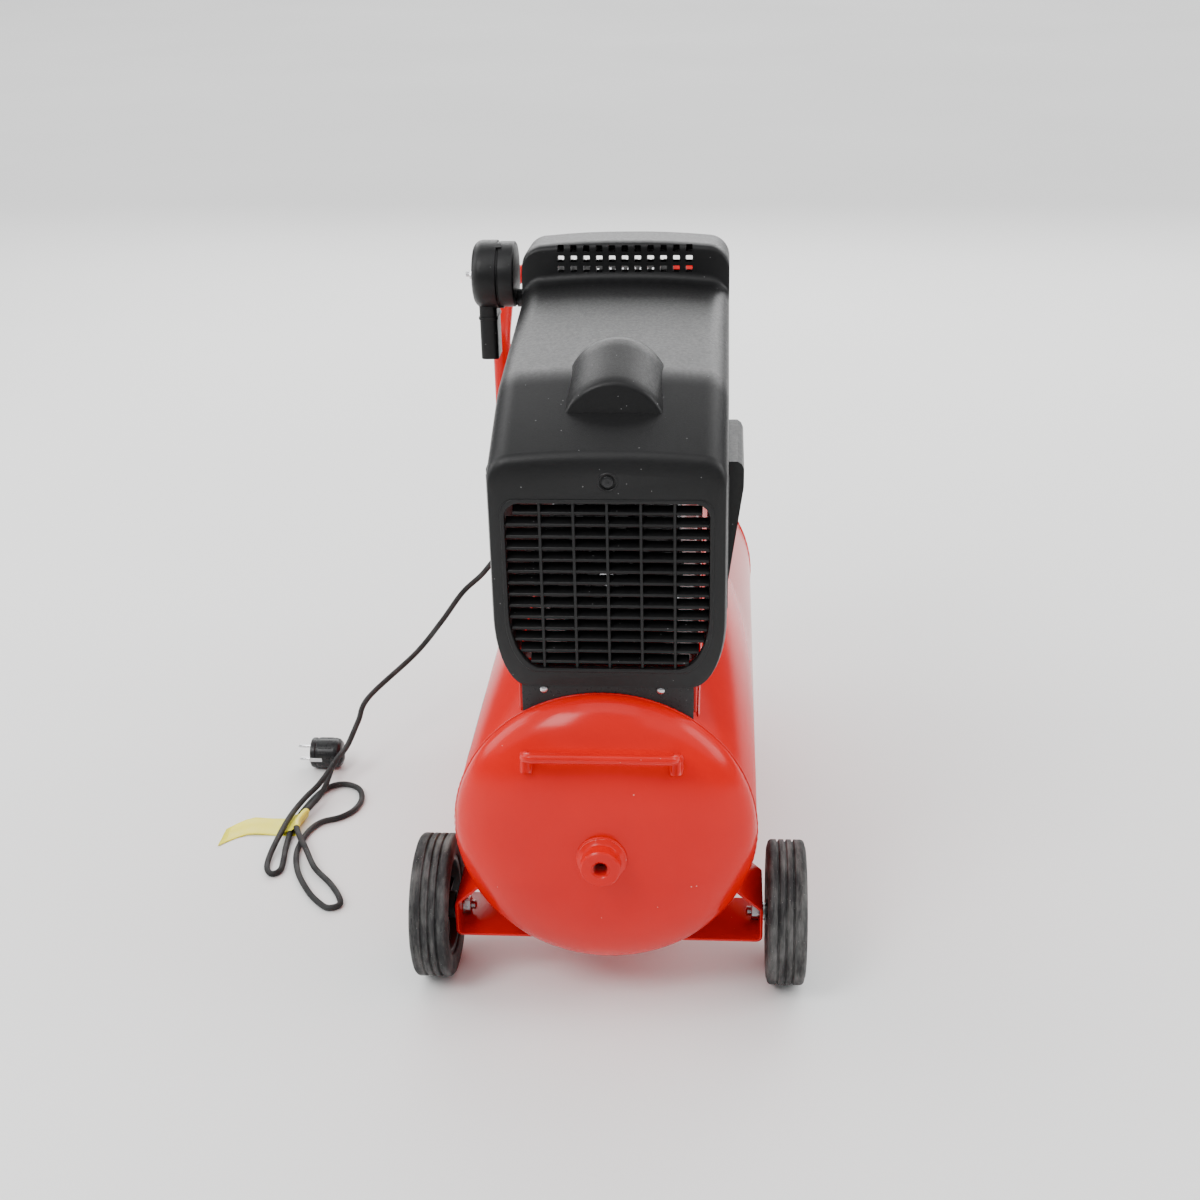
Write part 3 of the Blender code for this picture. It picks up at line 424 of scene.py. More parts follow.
RED = (gloss_red(), "red_paint", "chassis")
# Boss coat: lower edge limits widen the pale bands along the boss's convex edges.
BOSS_PAINT = (worn_red("red_coat_boss", 0.575, 0.64), "red_paint", "chassis")
WORN = (worn_red(), "red_paint", "chassis")
BLACK = (moulded_black(), "black_plastic", "chassis")
DARK = (moulded_black("black_glossy_part", 0.012, 0.3, 0.08), "black_plastic", "chassis")
RUBBER = (dusty_rubber("black_rubber_part", 0.014, 0.07), "black_rubber", "chassis")
TYRE = (dusty_rubber("tyre_rubber", 0.012, 0.15, (3.0, 0.6, 0.6)), "black_tyre", "chassis")
LEAD = (dusty_rubber("lead_sheath", 0.01, 0.03), "black_rubber", "chassis")
ZINC = (plated("zinc_plate", (0.66, 0.66, 0.67), 0.3), "zinc_steel", "chassis")
CHROME = (plated("nickel_bright", (0.82, 0.82, 0.83), 0.14, 60.0), "nickel_plate", "chassis")
BRASS = (plated("brass_plain", (0.72, 0.52, 0.24), 0.28), "brass", "chassis")
TUBE = (plated("tube_aluminium", (0.62, 0.62, 0.63), 0.34, 40.0), "zinc_steel", "chassis")
ALLOY = (cast_alloy(), "cast_aluminium", "chassis")
STEEL = (machined("turned_steel", (1.0, 6.0, 1.0)), "machined_steel", "chassis")
GLASS = (clear_window(), "sight_glass", "chassis")
RED_PLASTIC = (red_moulded(), "red_plastic", "chassis")
YELLOW = (film("yellow_film", (0.95, 0.86, 0.05)), "yellow_film", "chassis")
GREY_FILM = (film("grey_film", (0.32, 0.33, 0.34)), "yellow_film", "chassis")
BLACK_FILM = (film("black_film", (0.02, 0.02, 0.022)), "yellow_film", "chassis")
WHITE_FILM = (film("white_film", (0.8, 0.8, 0.78)), "yellow_film", "chassis")
COPPER_WIRE = (plated("winding_wire", (0.66, 0.30, 0.14), 0.4), "machined_steel", "chassis")
FOAM = (dusty_rubber("filter_foam", 0.03, 0.08), "black_rubber", "chassis")


# ---------------------------------------------------------------- mesh helpers

def on(body, finish, slot=""):
    """The same finish on another body, or with another slot name in it."""
    return (finish[0], slot or finish[1], body)


def solid(bm, name, finish=None):
    """Turns a bmesh in millimetres into an object in metres."""
    for vert in bm.verts:
        vert.co = place(vert.co)
    bmesh.ops.recalc_face_normals(bm, faces=bm.faces)
    mesh = bpy.data.meshes.new(name)
    bm.to_mesh(mesh)
    bm.free()
    if finish:
        mesh.materials.append(finish[0])
    item = bpy.data.objects.new(name, mesh)
    bpy.context.scene.collection.objects.link(item)
    return item


def soft_edges(item, width, segments=2, angle=40):
    edge = item.modifiers.new("edges", "BEVEL")
    edge.width = width * MM
    edge.segments = segments
    edge.limit_method = "ANGLE"
    edge.angle_limit = math.radians(angle)
    return edge


def add(name, bm, finish, nodes=(), smooth=35.0, bevel=0.0, segments=2):
    """Makes a piece from a bmesh with the material and body of its finish; it stands for nodes, which are
    hidden.
    """
    item = solid(bm, name, finish)
    item.data.shade_smooth()
    item.data.set_sharp_from_angle(angle=math.radians(smooth))
    if bevel:
        soft_edges(item, bevel, segments)
    join(item, finish, nodes)
    return item


def join(item, finish, nodes=()):
    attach(item, finish[2])
    if nodes:
        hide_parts(*nodes)


def skin(bm, rings, closed=False):
    """Joins equal rings of vertices; open ends are filled."""
    pairs = list(zip(rings, rings[1:]))
    if closed:
        pairs.append((rings[-1], rings[0]))
    else:
        bm.faces.new(rings[0])
        bm.faces.new(list(reversed(rings[-1])))
    for first, second in pairs:
        for step in range(len(first)):
            after = (step + 1) % len(first)
            bm.faces.new([first[step], second[step], second[after], first[after]])


def axis_place(axis, a, b, along):
    return {"x": (along, a, b), "y": (a, along, b), "z": (a, b, along)}[axis]


def repeated(bm, low, high, axis, centre, angles):
    """Adds a block again and again, turned about an axis through the centre."""
    for angle in angles:
        before = set(bm.verts)
        block(bm, low, high)
        fresh = [vert for vert in bm.verts if vert not in before]
        turn = Matrix.Rotation(math.radians(angle), 4, axis)
        bmesh.ops.transform(bm, matrix=Matrix.Translation(centre) @ turn, verts=fresh)


def axis_point(axis, centre, radius, angle, along):
    a, b = [value for value, name in zip(centre, "xyz") if name != axis]
    return axis_place(axis, a + radius * math.cos(angle), b + radius * math.sin(angle), along)


def turns(count):
    """Evenly spaced angles of one full turn."""
    return [2 * math.pi * step / count for step in range(count)]


def quarter(steps):
    """Cosines and sines at even steps of a quarter turn."""
    angles = [math.radians(90 * step / steps) for step in range(steps + 1)]
    return [(math.cos(angle), math.sin(angle)) for angle in angles]


def lathe(bm, profile, axis, centre, segments=64):
    """Adds a closed outline of (radius, along) turned about an axis."""
    rings = []
    for radius, along in profile:
        angles = turns(segments) if radius else [0]
        rings.append([bm.verts.new(axis_point(axis, centre, radius, angle, along)) for angle in angles])
    for first, second in zip(rings, rings[1:] + rings[:1]):
        for step in range(segments):
            after = (step + 1) % segments
            corners = [first[step % len(first)], first[after % len(first)]]
            corners += [second[after % len(second)], second[step % len(second)]]
            unique = list(dict.fromkeys(corners))
            if len(unique) > 2:
                bm.faces.new(unique)


def corner_curve(before, here, after, radius, limit, steps):
    """Points of a soft corner between two straight lines."""
    back = before - here
    ahead = after - here
    reach = min(radius, back.length * limit, ahead.length * limit)
    start = here + back.normalized() * reach
    stop = here + ahead.normalized() * reach
    shares = [step / steps for step in range(steps + 1)]
    return [tuple((1 - t) ** 2 * start + 2 * t * (1 - t) * here + t ** 2 * stop) for t in shares]


def rounded(profile, radius, steps=3):
    """Rounds the corners of a closed (radius, along) outline; corners on the axis stay."""
    result = []
    for index, point in enumerate(profile):
        before = Vector(profile[index - 1])
        after = Vector(profile[(index + 1) % len(profile)])
        here = Vector(point)
        if here.x == 0 or (before - here).length < 1e-6 or (after - here).length < 1e-6:
            result.append(tuple(here))
        else:
            result += corner_curve(before, here, after, radius, 0.45, steps)
    return result


def turned(name, profile, axis, centre, finish, nodes=(), radius=0.8, count=64, smooth=50, **edges):
    bm = bmesh.new()
    lathe(bm, rounded(profile, radius) if radius else profile, axis, centre, count)
    return add(name, bm, finish, nodes, smooth, **edges)


def prism(bm, outline, axis, low, high):
    """Adds an outline extruded along an axis; the outline holds the other two coordinates."""
    skin(bm, [[bm.verts.new(axis_place(axis, a, b, along)) for a, b in outline] for along in (low, high)])


def block(bm, low, high):
    outline = [(low[0], low[1]), (high[0], low[1]), (high[0], high[1]), (low[0], high[1])]
    prism(bm, outline, "z", low[2], high[2])


def arc(centre, radius, start, stop, steps):
    points = []
    for step in range(steps + 1):
        angle = math.radians(start + (stop - start) * step / steps)
        points.append((centre[0] + radius * math.cos(angle), centre[1] + radius * math.sin(angle)))
    return points


def curve_piece(name, points, radius, finish, nodes=(), cyclic=False, resolution=6):
    """A round bar along points in millimetres."""
    data = bpy.data.curves.new(name, "CURVE")
    data.dimensions = "3D"
    data.bevel_depth = radius * MM
    data.bevel_resolution = resolution
    data.use_fill_caps = True
    spline = data.splines.new("POLY")
    spline.points.add(len(points) - 1)
    for target, point in zip(spline.points, points):
        target.co = (*place(point), 1.0)
    spline.use_cyclic_u = cyclic
    spline.use_smooth = True
    data.materials.append(finish[0])
    item = bpy.data.objects.new(name, data)
    bpy.context.scene.collection.objects.link(item)
    join(item, finish, nodes)
    return item


def bent_path(corners, radius, steps=10):
    """A path of straight runs whose corners are rounded with arcs."""
    points = [Vector(corners[0])]
    for before, corner, after in zip(corners, corners[1:], corners[2:]):
        corner = Vector(corner)
        back = (Vector(before) - corner).normalized()
        ahead = (Vector(after) - corner).normalized()
        half = back.angle(ahead) / 2
        centre = corner + (back + ahead).normalized() * (radius / math.sin(half))
        start = corner + back * (radius / math.tan(half)) - centre
        stop = corner + ahead * (radius / math.tan(half)) - centre
        swing = start.angle(stop)
        for step in range(steps + 1):
            turn = swing * step / steps
            points.append(centre + (start * math.sin(swing - turn) + stop * math.sin(turn)) / math.sin(swing))
    points.append(Vector(corners[-1]))
    return points


def smooth_path(route, spacing):
    """Points at an even spacing on a Catmull-Rom curve through the route."""
    ends = [route[0]] + list(route) + [route[-1]]
    dense = []
    for index in range(len(route) - 1):
        p0, p1, p2, p3 = (Vector(point) for point in ends[index:index + 4])
        for step in range(24):
            t = step / 24
            dense.append(0.5 * (2 * p1 + (p2 - p0) * t + (2 * p0 - 5 * p1 + 4 * p2 - p3) * t ** 2
                                + (3 * p1 - p0 - 3 * p2 + p3) * t ** 3))
    dense.append(Vector(route[-1]))
    total = sum((b - a).length for a, b in zip(dense, dense[1:]))
    count = max(2, round(total / spacing))
    points = [dense[0]]
    walked = 0.0
    for a, b in zip(dense, dense[1:]):
        walked += (b - a).length
        if walked >= total / count * len(points) and len(points) < count:
            points.append(b)
    points.append(dense[-1])
    return points


def carve(item, tools, operation="DIFFERENCE"):
    """Applies Booleans with other solids and removes them."""
    for tool in tools:
        cut = item.modifiers.new("cut", "BOOLEAN")
        cut.operation = operation
        cut.solver = "EXACT"
        cut.object = tool
    bpy.context.view_layer.update()
    graph = bpy.context.evaluated_depsgraph_get()
    mesh = bpy.data.meshes.new_from_object(item.evaluated_get(graph))
    item.modifiers.clear()
    mat = item.data.materials[0]
    item.data = mesh
    mesh.materials.clear()
    mesh.materials.append(mat)
    for polygon in mesh.polygons:
        polygon.material_index = 0
    mesh.shade_smooth()
    mesh.set_sharp_from_angle(angle=math.radians(30))
    for tool in tools:
        bpy.data.objects.remove(tool, do_unlink=True)


def tool(build, *values):
    """A loose solid for carve(), from a helper and what it takes after its bmesh."""
    bm = bmesh.new()
    build(bm, *values)
    return solid(bm, "tool")


def repaint(finish, *nodes):
    """A better material on CAD nodes that stay."""
    for name in nodes:
        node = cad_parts[name]
        for holder in node.material_slots:
            holder.material = finish[0]
        node.data.shade_smooth()


# ---------------------------------------------------------------- small shared parts

def hex_head(bm, axis, centre, across, low, high):
    """A hexagonal head or nut, chamfered by a narrower layer at its outer end."""
    plane = [value for value, name in zip(centre, "xyz") if name != axis]
    layers = []
    for along, size in ((low, across), (high - 0.15 * (high - low), across), (high, across * 0.9)):
        outline = arc(plane, size / math.sqrt(3), 0, 300, 5)
        layers.append([bm.verts.new(axis_place(axis, a, b, along)) for a, b in outline])
    skin(bm, layers)


def washer(bm, axis, centre, outer, inner, low, high):
    lathe(bm, rounded([(inner, low), (outer, low), (outer, high), (inner, high)], 0.3), axis, centre, 40)


def cap_screw(bm, axis, centre, radius, low, high):
    """A screw with a domed head and a shallow round recess, its face towards high."""
    sign = 1 if high > low else -1
    dome = [(0, low), (radius * 0.98, low), (radius, low + 0.3 * (high - low))]
    for step in range(1, 5):
        angle = math.radians(90 * step / 5)
        dome.append((radius * math.cos(angle), low + (0.3 + 0.7 * math.sin(angle)) * (high - low)))
    dome.append((radius * 0.3, high - sign * 0.05))
    dome += [(radius * 0.26, high - sign * 0.5), (0, high - sign * 0.5)]
    lathe(bm, dome, axis, centre, 32)


def ring_of(count, radius, centre, start=0.0):
    return arc(centre, radius, start, start + 360 * (count - 1) / count, count - 1)


def screws(name, places, axis, radius, low, high):
    bm = bmesh.new()
    for a, b in places:
        cap_screw(bm, axis, axis_place(axis, a, b, 0), radius, low, high)
    return add(name, bm, ZINC)


def bolt(bm, axis, centre, sizes, levels):
    """A hexagonal head on a washer: its outer and inner radius and the head's width, then its levels."""
    outer, inner, across = sizes
    washer(bm, axis, centre, outer, inner, levels[0], levels[1])
    hex_head(bm, axis, centre, across, levels[1], levels[2])


def bolts(name, places, axis, sizes, levels):
    bm = bmesh.new()
    for a, b in places:
        bolt(bm, axis, axis_place(axis, a, b, 0), sizes, levels)
    return add(name, bm, ZINC, smooth=30)


def hexagons(name, finish, *heads):
    bm = bmesh.new()
    for head in heads:
        hex_head(bm, *head)
    return add(name, bm, finish, smooth=30, bevel=0.3)


def weld_bead(name, points, radius, seed):
    """A rough weld bead along a closed or open line of millimetre points."""
    shuffle = random.Random(seed)
    bm = bmesh.new()
    rings = []
    closed = (Vector(points[0]) - Vector(points[-1])).length < 1e-6
    if closed:
        points = points[:-1]
    count = len(points)
    for index in range(count):
        here = Vector(points[index])
        ahead = Vector(points[(index + 1) % count]) if closed or index < count - 1 else here
        behind = Vector(points[index - 1]) if closed or index else here
        along = (ahead - behind).normalized()
        side = along.cross(Vector((0.31, 0.77, 0.55))).normalized()
        up = along.cross(side)
        size = radius * (0.86 + 0.14 * math.cos(index * 2.1) + shuffle.uniform(-0.08, 0.08))
        if not closed and index in (0, count - 1):
            size *= 0.35
        ring = [here + (side * math.cos(angle) + up * math.sin(angle)) * size for angle in turns(8)]
        rings.append([bm.verts.new(point) for point in ring])
    skin(bm, rings, closed)
    return add(name, bm, WORN, smooth=80)


def circle_points(axis, centre, radius, along, count):
    points = [axis_point(axis, centre, radius, angle, along) for angle in turns(count)]
    return points + points[:1]


# ---------------------------------------------------------------- tank

def dished_end(sign, seam, hole):
    """A tank end's outline, from its open edge up the outside and back down the inside."""
    outer = [(TANK_R * cos, DOME * sin) for cos, sin in quarter(22)]
    inner = [((TANK_R - TANK_WALL) * cos, (DOME - TANK_WALL) * sin) for cos, sin in quarter(22)]
    if hole:
        outer = [point for point in outer if point[0] > hole] + [(hole, DOME)]
        inner = [point for point in inner if point[0] > hole] + [(hole, DOME - TANK_WALL)]
    outer[0] = (TANK_R - 0.5, 0.0)
    outer.insert(1, (TANK_R, 0.8))
    return [(radius if radius > 1e-6 else 0.0, seam + sign * along) for radius, along in outer + inner[::-1]]


def tank():
    centre = (0, 0, TANK_Z)
    inside = TANK_R - TANK_WALL
    shell = [(inside, 0.2), (TANK_R - 0.6, 0.2), (TANK_R, 0.9), (TANK_R, SHELL_LENGTH - 0.9)]
    shell += [(TANK_R - 0.6, SHELL_LENGTH - 0.2), (inside, SHELL_LENGTH - 0.2)]
    rear = dished_end(-1, -0.15, PORT_R)
    front = dished_end(1, SHELL_LENGTH + 0.15, 0)
    for name, form, node in (("body", shell, "shell"), ("end_rear", rear, "head_rear"),
                             ("end_front", front, "head_front")):
        turned("tank_" + name, form, "y", centre, RED, ["tank_" + node], 0, 128)
    for name, along, seed in (("weld_rear", 0.0, 3), ("weld_front", SHELL_LENGTH, 5)):
        weld_bead(name, circle_points("y", centre, TANK_R - 0.3, along, 360), 1.5, seed)
    stops = [3 + (SHELL_LENGTH - 6) * step / 159 for step in range(160)]
    seam = [axis_point("y", centre, TANK_R - 0.4, math.radians(-55), along) for along in stops]
    weld_bead("weld_along", seam, 1.1, 7)
    boss()
    lift_handle()


def boss():
    ring = -DOME - 0.6
    form = [(PORT_R + 1.3, ring), (23.5, ring), (23.5, ring - 3), (20.2, ring - 5), (19.5, ring - 6)]
    form += [(19.5, BOSS_FACE + 1.6), (18, BOSS_FACE), (PORT_R + 2.2, BOSS_FACE)]
    form += [(PORT_R + 1.0, BOSS_FACE + 1.4)]
    along = BOSS_FACE + 1.4
    while along < ring - 2.4:
        form += [(PORT_R, along + 0.5), (PORT_R + 1.0, along + 1.3)]
        along += 1.3
    centre = (0, 0, TANK_Z)
    turned("rear_port_boss", form, "y", centre, BOSS_PAINT, ["rear_boss"], 0, 72, 32)
    weld_bead("weld_boss", circle_points("y", centre, 23.2, ring + 0.4, 110), 2.0, 11)


def lift_handle():
    half = [(-LIFT_X, -43.5, 290.0), (-LIFT_X, -38.5, 306.0), (-70.0, -58.0, 314.0)]
    corners = half + [(-x, y, z) for x, y, z in reversed(half)]
    curve_piece("lift_bar", bent_path(corners, 7.0, 8), 5.0, WORN, ["lift_handle"])
    for side, label in SIDES:
        for edge, offset, seed in (("outer", 4.4, 13), ("inner", -4.4, 17)):
            x = side * (LIFT_X + offset)
            line = [(x, dome_y(x, z) - 1.2, z) for z in [286 + 2.4 * step for step in range(9)]]
            weld_bead("weld_lift_" + label + "_" + edge, line, 2.7, seed + side)


def dome_y(x, z):
    """The rear head's surface at a point."""
    return -DOME * math.sqrt(max(0.0, 1 - (x ** 2 + (z - TANK_Z) ** 2) / TANK_R ** 2))


# ---------------------------------------------------------------- wheels and feet

def bent_strip(name, centreline, radius, low, high, nodes):
    """A strip bent along a centreline in (x, z), as wide as low to high along y."""
    points = bent_path([Vector((x, 0, z)) for x, z in centreline], radius, 6)
    outer = []
    inner = []
    for behind, here, ahead in zip(points[:1] + points, points, points[1:] + points[-1:]):
        along = (ahead - behind).normalized()
        normal = Vector((-along.z, 0, along.x)) * STRIP / 2
        outer.append(here + normal)
        inner.append(here - normal)
    bm = bmesh.new()
    prism(bm, [(point.x, point.z) for point in outer + inner[::-1]], "y", low, high)
    return add(name, bm, WORN, nodes, bevel=0.7)


def axle_brackets():
    for side, label in SIDES:
        line = [(61.5, 63.5), (EAR_X - 1.5, 63.5), (EAR_X - 1.5, 100.3), (129.4, 124.3)]
        line = [(side * x, z) for x, z in line]
        nodes = ["axle_bracket_" + label]
        item = bent_strip("axle_strip_" + label, line, 5.0, AXLE_Y - 37, AXLE_Y + 37, nodes)
        bit = [(0, side * 140), (AXLE_HOLE, side * 140), (AXLE_HOLE, side * 170), (0, side * 170)]
        carve(item, [tool(lathe, bit, "x", (0, AXLE_Y, WHEEL_R), 40)])
        upper = [(side * 127.6 + side * 1.2, y, 122.6 - 1.2) for y in range(10, 82, 3)]
        weld_bead("weld_axle_" + label, upper, 2.0, 21 + side)
        lower = [(side * 62.5, y, 65.8) for y in range(10, 82, 3)]
        weld_bead("weld_axle_foot_" + label, lower, 2.0, 25 + side)


def tread():
    """The tyre's four ribs, as points of its outline."""
    form = []
    ribs = 4
    pitch = (WHEEL_OUT - WHEEL_IN - 9.0) / ribs
    along = WHEEL_IN + 4.5
    for _ in range(ribs):
        form += [(WHEEL_R, along + 0.4), (WHEEL_R, along + pitch - 2.6)]
        form += [(WHEEL_R - 2.4, along + pitch - 2.0), (WHEEL_R - 2.4, along + pitch - 0.6)]
        along += pitch
    return form[:-3] + [(WHEEL_R, WHEEL_OUT - 5.0)]


def wheel(side, label):
    centre = (0, AXLE_Y, WHEEL_R)
    wall = [(HUB_R + 0.3, 2), (HUB_R + 3, 1.2), (HUB_R + 5, 0.4), (WHEEL_R - 13, 0.2), (WHEEL_R - 12, 0)]
    wall += [(WHEEL_R - 7, 0), (WHEEL_R - 6, 0.6), (WHEEL_R - 2.4, 1.4), (WHEEL_R - 0.6, 3)]
    tyre = [(r, WHEEL_IN + x) for r, x in wall] + tread() + [(r, WHEEL_OUT - x) for r, x in wall[::-1]]
    tyre = [(r, side * x) for r, x in tyre]
    body = "wheel_" + label
    turned("tyre_tread_" + label, tyre, "x", centre, on(body, TYRE), ["tyre_" + label], 0.4, 96)
    hub = [(6.4, WHEEL_IN), (13, WHEEL_IN), (14, WHEEL_IN + 1.4), (14, 180)]
    hub += [(30, 180), (31, 179), (34, 179)]
    hub += [(35, 180), (44, 180), (46.4, 167), (47.4, 166), (HUB_R, 166), (HUB_R, 199), (50, 199.6)]
    hub += [(47.4, 199)]
    hub += [(46.4, 197), (44.6, 188), (36, 187), (35, 190.4), (31, 190.4), (30, 187), (14.4, 187)]
    hub += [(14, 195.4), (13, 197.4), (6.4, 197.4)]
    bm = bmesh.new()
    lathe(bm, rounded([(r, side * x) for r, x in hub], 0.7), "x", centre, 96)
    for low, high in ((187, 195.2), (172.4, 180)):
        x0, x1 = sorted((side * low, side * high))
        repeated(bm, (x0, -1.5, 13.4), (x1, 1.5, 47.0), "X", centre, range(0, 360, 45))
    add("hub_web_" + label, bm, on(body, BLACK), ["hub_" + label], bevel=0.35)
    axle(side, label, centre)


def axle(side, label, centre):
    bm = bmesh.new()
    shank = [(0, 141.5), (3.6, 141.5), (AXLE_R, 142.8)]
    along = 142.8
    while along < 152.0:
        shank += [(AXLE_R, along + 0.3), (AXLE_R - 0.6, along + 0.9), (AXLE_R, along + 1.5)]
        along += 1.5
    shank += [(AXLE_R, 197.6), (0, 197.6)]
    lathe(bm, [(r, side * x) for r, x in shank], "x", centre, 40)
    bolt(bm, "x", centre, (9.4, AXLE_R + 0.1, 15.5), (side * 197.7, side * 198.6, side * 201.9))
    add("axle_screw_" + label, bm, ZINC, ["axle_bolt_" + label], smooth=30)
    bm = bmesh.new()
    hex_head(bm, "x", centre, 16.4, side * 153.0, side * 146.6)
    washer(bm, "x", centre, 9.6, AXLE_R + 0.2, side * 153.1, side * 154.6)
    add("axle_lock_nut_" + label, bm, ZINC, ["axle_nut_" + label], smooth=30)
    spacer = [(5.3, side * 158.3), (9.5, side * 158.3), (9.5, side * 161.6), (5.3, side * 161.6)]
    turned("axle_spacer_" + label, spacer, "x", centre, ZINC, (), 0.5, 48, 40)


def front_foot():
    leg = 112.0
    line = [(-leg, 99.0), (-leg, 24.0), (leg, 24.0), (leg, 99.0)]
    bent_strip("foot_strip", line, 7.0, FOOT_Y - 25, FOOT_Y + 25, ["foot_bracket"])
    pad = [(0, 0), (17, 0), (18.4, 1.2), (20, 3), (20, 6.5), (19, 7.4), (19, 9), (20, 10), (20, 18)]
    pad += [(17.4, 22), (5.2, 22), (5.2, 14), (0, 14)]
    for side, label in SIDES:
        x = side * FOOT_X
        turned("rubber_foot_" + label, pad, "z", (x, FOOT_Y, 0), RUBBER, ["foot_" + label], 0.6, 48)
        bolts("foot_screw_" + label, [(x, FOOT_Y)], "z", (8.0, 2.0, 10.0), (25.6, 26.6, 31.0))
        line = [(side * 113.8, y, 98.6) for y in range(563, 609, 3)]
        weld_bead("weld_foot_" + label, line, 2.0, 31 + side)


def front_handle():
    left, right, y, top, grip_y = -161.9, 96.0, 600.0, 590.0, 685.0
    bend = top - 60
    shoulder = TANK_Z + math.sqrt(TANK_R ** 2 - (right - 11) ** 2) + 0.3
    corners = [(left, y, 232.0), (left, y, bend), (left, grip_y, top), (right, grip_y, top)]
    corners += [(right, y, bend), (right, y, shoulder)]
    curve_piece("handle_tube", bent_path(corners, 34.0, 14), 11.0, WORN, ["front_handle"], resolution=10)
    grip = [(11.3, -112), (13.8, -112), (15, -110.6)]
    along = -106.0
    while along < 42:
        grip += [(15, along - 1.4), (14.0, along - 0.7), (14.0, along + 0.7), (15, along + 1.4)]
        along += 7.4
    grip += [(15, 46.6), (13.8, 48), (11.3, 48)]
    turned("grip_sleeve", grip, "x", (0, grip_y, top), RUBBER, ["handle_grip"], 0.35, 64)
    weld_bead("weld_handle_right", circle_points("z", (right, y, 0), 11.6, shoulder + 1.0, 60), 1.8, 41)
    weld_bead("weld_handle_left", [(-149.6, 606.0, z) for z in range(214, 240, 3)], 2.4, 43)


# ---------------------------------------------------------------- shroud and grille

def rounded_line(corners, steps=6):
    """An open polyline of (y, height, radius) whose corners are rounded."""
    points = [corners[0][:2]]
    for triple in zip(corners, corners[1:], corners[2:]):
        before, here, after = (Vector(corner[:2]) for corner in triple)
        points += corner_curve(before, here, after, triple[1][2], 0.49, steps)
    points.append(corners[-1][:2])
    return points


def narrowing(y):
    """How much closer the left wall stands towards the near end."""
    return NARROWING * (1 - min(1.0, max(0.0, (y - 100) / 285)))


def shroud_section(half, top, foot, left):
    """A cross-section in (x, z): crowned top, rounded shoulders, tall rounded lower corners."""
    low = foot + LOWER_HEIGHT
    shoulder = top - CROWN - BOW_RADIUS
    side = [(half - LOWER_WIDTH * (1 - sin), low - LOWER_HEIGHT * cos) for cos, sin in quarter(10)]
    side += [(half, low + share * (shoulder - low)) for share in (0.25, 0.5, 0.75)]
    side += [(half - BOW_RADIUS * (1 - cos), shoulder + BOW_RADIUS * sin) for cos, sin in quarter(10)]
    for share in (0.75, 0.5, 0.25, 0.08):
        side.append(((half - BOW_RADIUS) * share, top - CROWN * share ** 2 - 1.25 * (1 - share)))
    mirror = [(-x * left / half, z) for x, z in reversed(side)]
    return [(UNIT_X + x, z) for x, z in side + mirror]


def shroud_solid(bm, inset):
    """The shroud's outer form, or its hollow when inset."""
    corners = [(-5.0, 581.0, 0), (-1.5, 596.0, 7), (104.0, 640.5, 16), (376.0, 655.5, 9), (386.0, 661.0, 7)]
    corners += [(387.2, 694.0, 5), (396.0, 696.9, 5), (SHROUD_END, 693.0, 0)]
    halves = [(-5.0, 104.0, 0), (-4.6, 110.5, 4), (4.0, SHROUD_HALF, 9), (SHROUD_END, SHROUD_HALF, 0)]
    line = rounded_line(halves)
    spans = [(a, b) for a, b in zip(line, line[1:]) if b[0] > a[0]]
    rings = []
    for y, top in rounded_line(corners):
        near, far = next(span for span in spans if y <= span[1][0] + 1e-6)
        half = near[1] + (far[1] - near[1]) * (y - near[0]) / (far[0] - near[0])
        left = half - narrowing(y) - inset
        if inset and (y < 5 or y > 370):
            y += inset
        if inset and y > SHROUD_END:
            y = SHROUD_END + 10
        section = shroud_section(half - inset, top - inset, SHROUD_FOOT + inset, left)
        rings.append([bm.verts.new((x, y, z)) for x, z in section])
    skin(bm, rings)


def window_outline(edge):
    """The grille opening in (x, z), barrel-shaped at its foot, grown by an edge."""
    half = WINDOW_HALF + edge
    low = WINDOW_LOW - edge
    right = [(half - LOWER_WIDTH * (1 - sin), low + WINDOW_CURVE * (1 - cos)) for cos, sin in quarter(12)]
    right += arc((half - 14, WINDOW_HIGH + edge - 14), 14, 0, 90, 8)
    return [(GRILLE_X + x, z) for x, z in right] + [(GRILLE_X - x, z) for x, z in reversed(right)]


def rounded_block(bm, low, high, radius, axis="x", steps=4):
    """A block whose four edges along an axis are rounded."""
    keep = "xyz".index(axis)
    a, b = [index for index in range(3) if index != keep]
    far_a, far_b = high[a] - radius, high[b] - radius
    near_a, near_b = low[a] + radius, low[b] + radius
    outline = arc((far_a, far_b), radius, 0, 90, steps)
    outline += arc((near_a, far_b), radius, 90, 180, steps)
    outline += arc((near_a, near_b), radius, 180, 270, steps)
    outline += arc((far_a, near_b), radius, 270, 360, steps)
    prism(bm, outline, axis, low[keep], high[keep])


def scoop_fill(bm, inset=0.0):
    """The round-topped bulge that climbs the front slope and ends in a dome."""
    near, low = SCOOP_NEAR
    far, high = SCOOP_FAR
    reach = SCOOP_R - inset
    lip = ((0.0, 0.0, 4.5), (0.5, 0.0, 2.6), (1.7, 0.0, 1.0), (3.6, 0.6, 0.1))
    stations = [(near + inset + along, low + rise, reach - less) for along, rise, less in lip]
    for share in [step / 6 for step in range(1, 6)]:
        stations.append((near + (far - near) * share, low + (high - low) * share, reach))
    for angle in [math.radians(4.5 * step) for step in range(20)]:
        stations.append((far + reach * math.sin(angle), high, reach * math.cos(angle)))
    rings = []
    for y, z, radius in stations:
        rings.append([bm.verts.new((x, y, up)) for x, up in arc((SCOOP_X, z), radius, -20, 200, 72)])
    skin(bm, rings)


def pod_wall(side):
    return UNIT_X + side * SHROUD_HALF - min(side, 0) * NARROWING


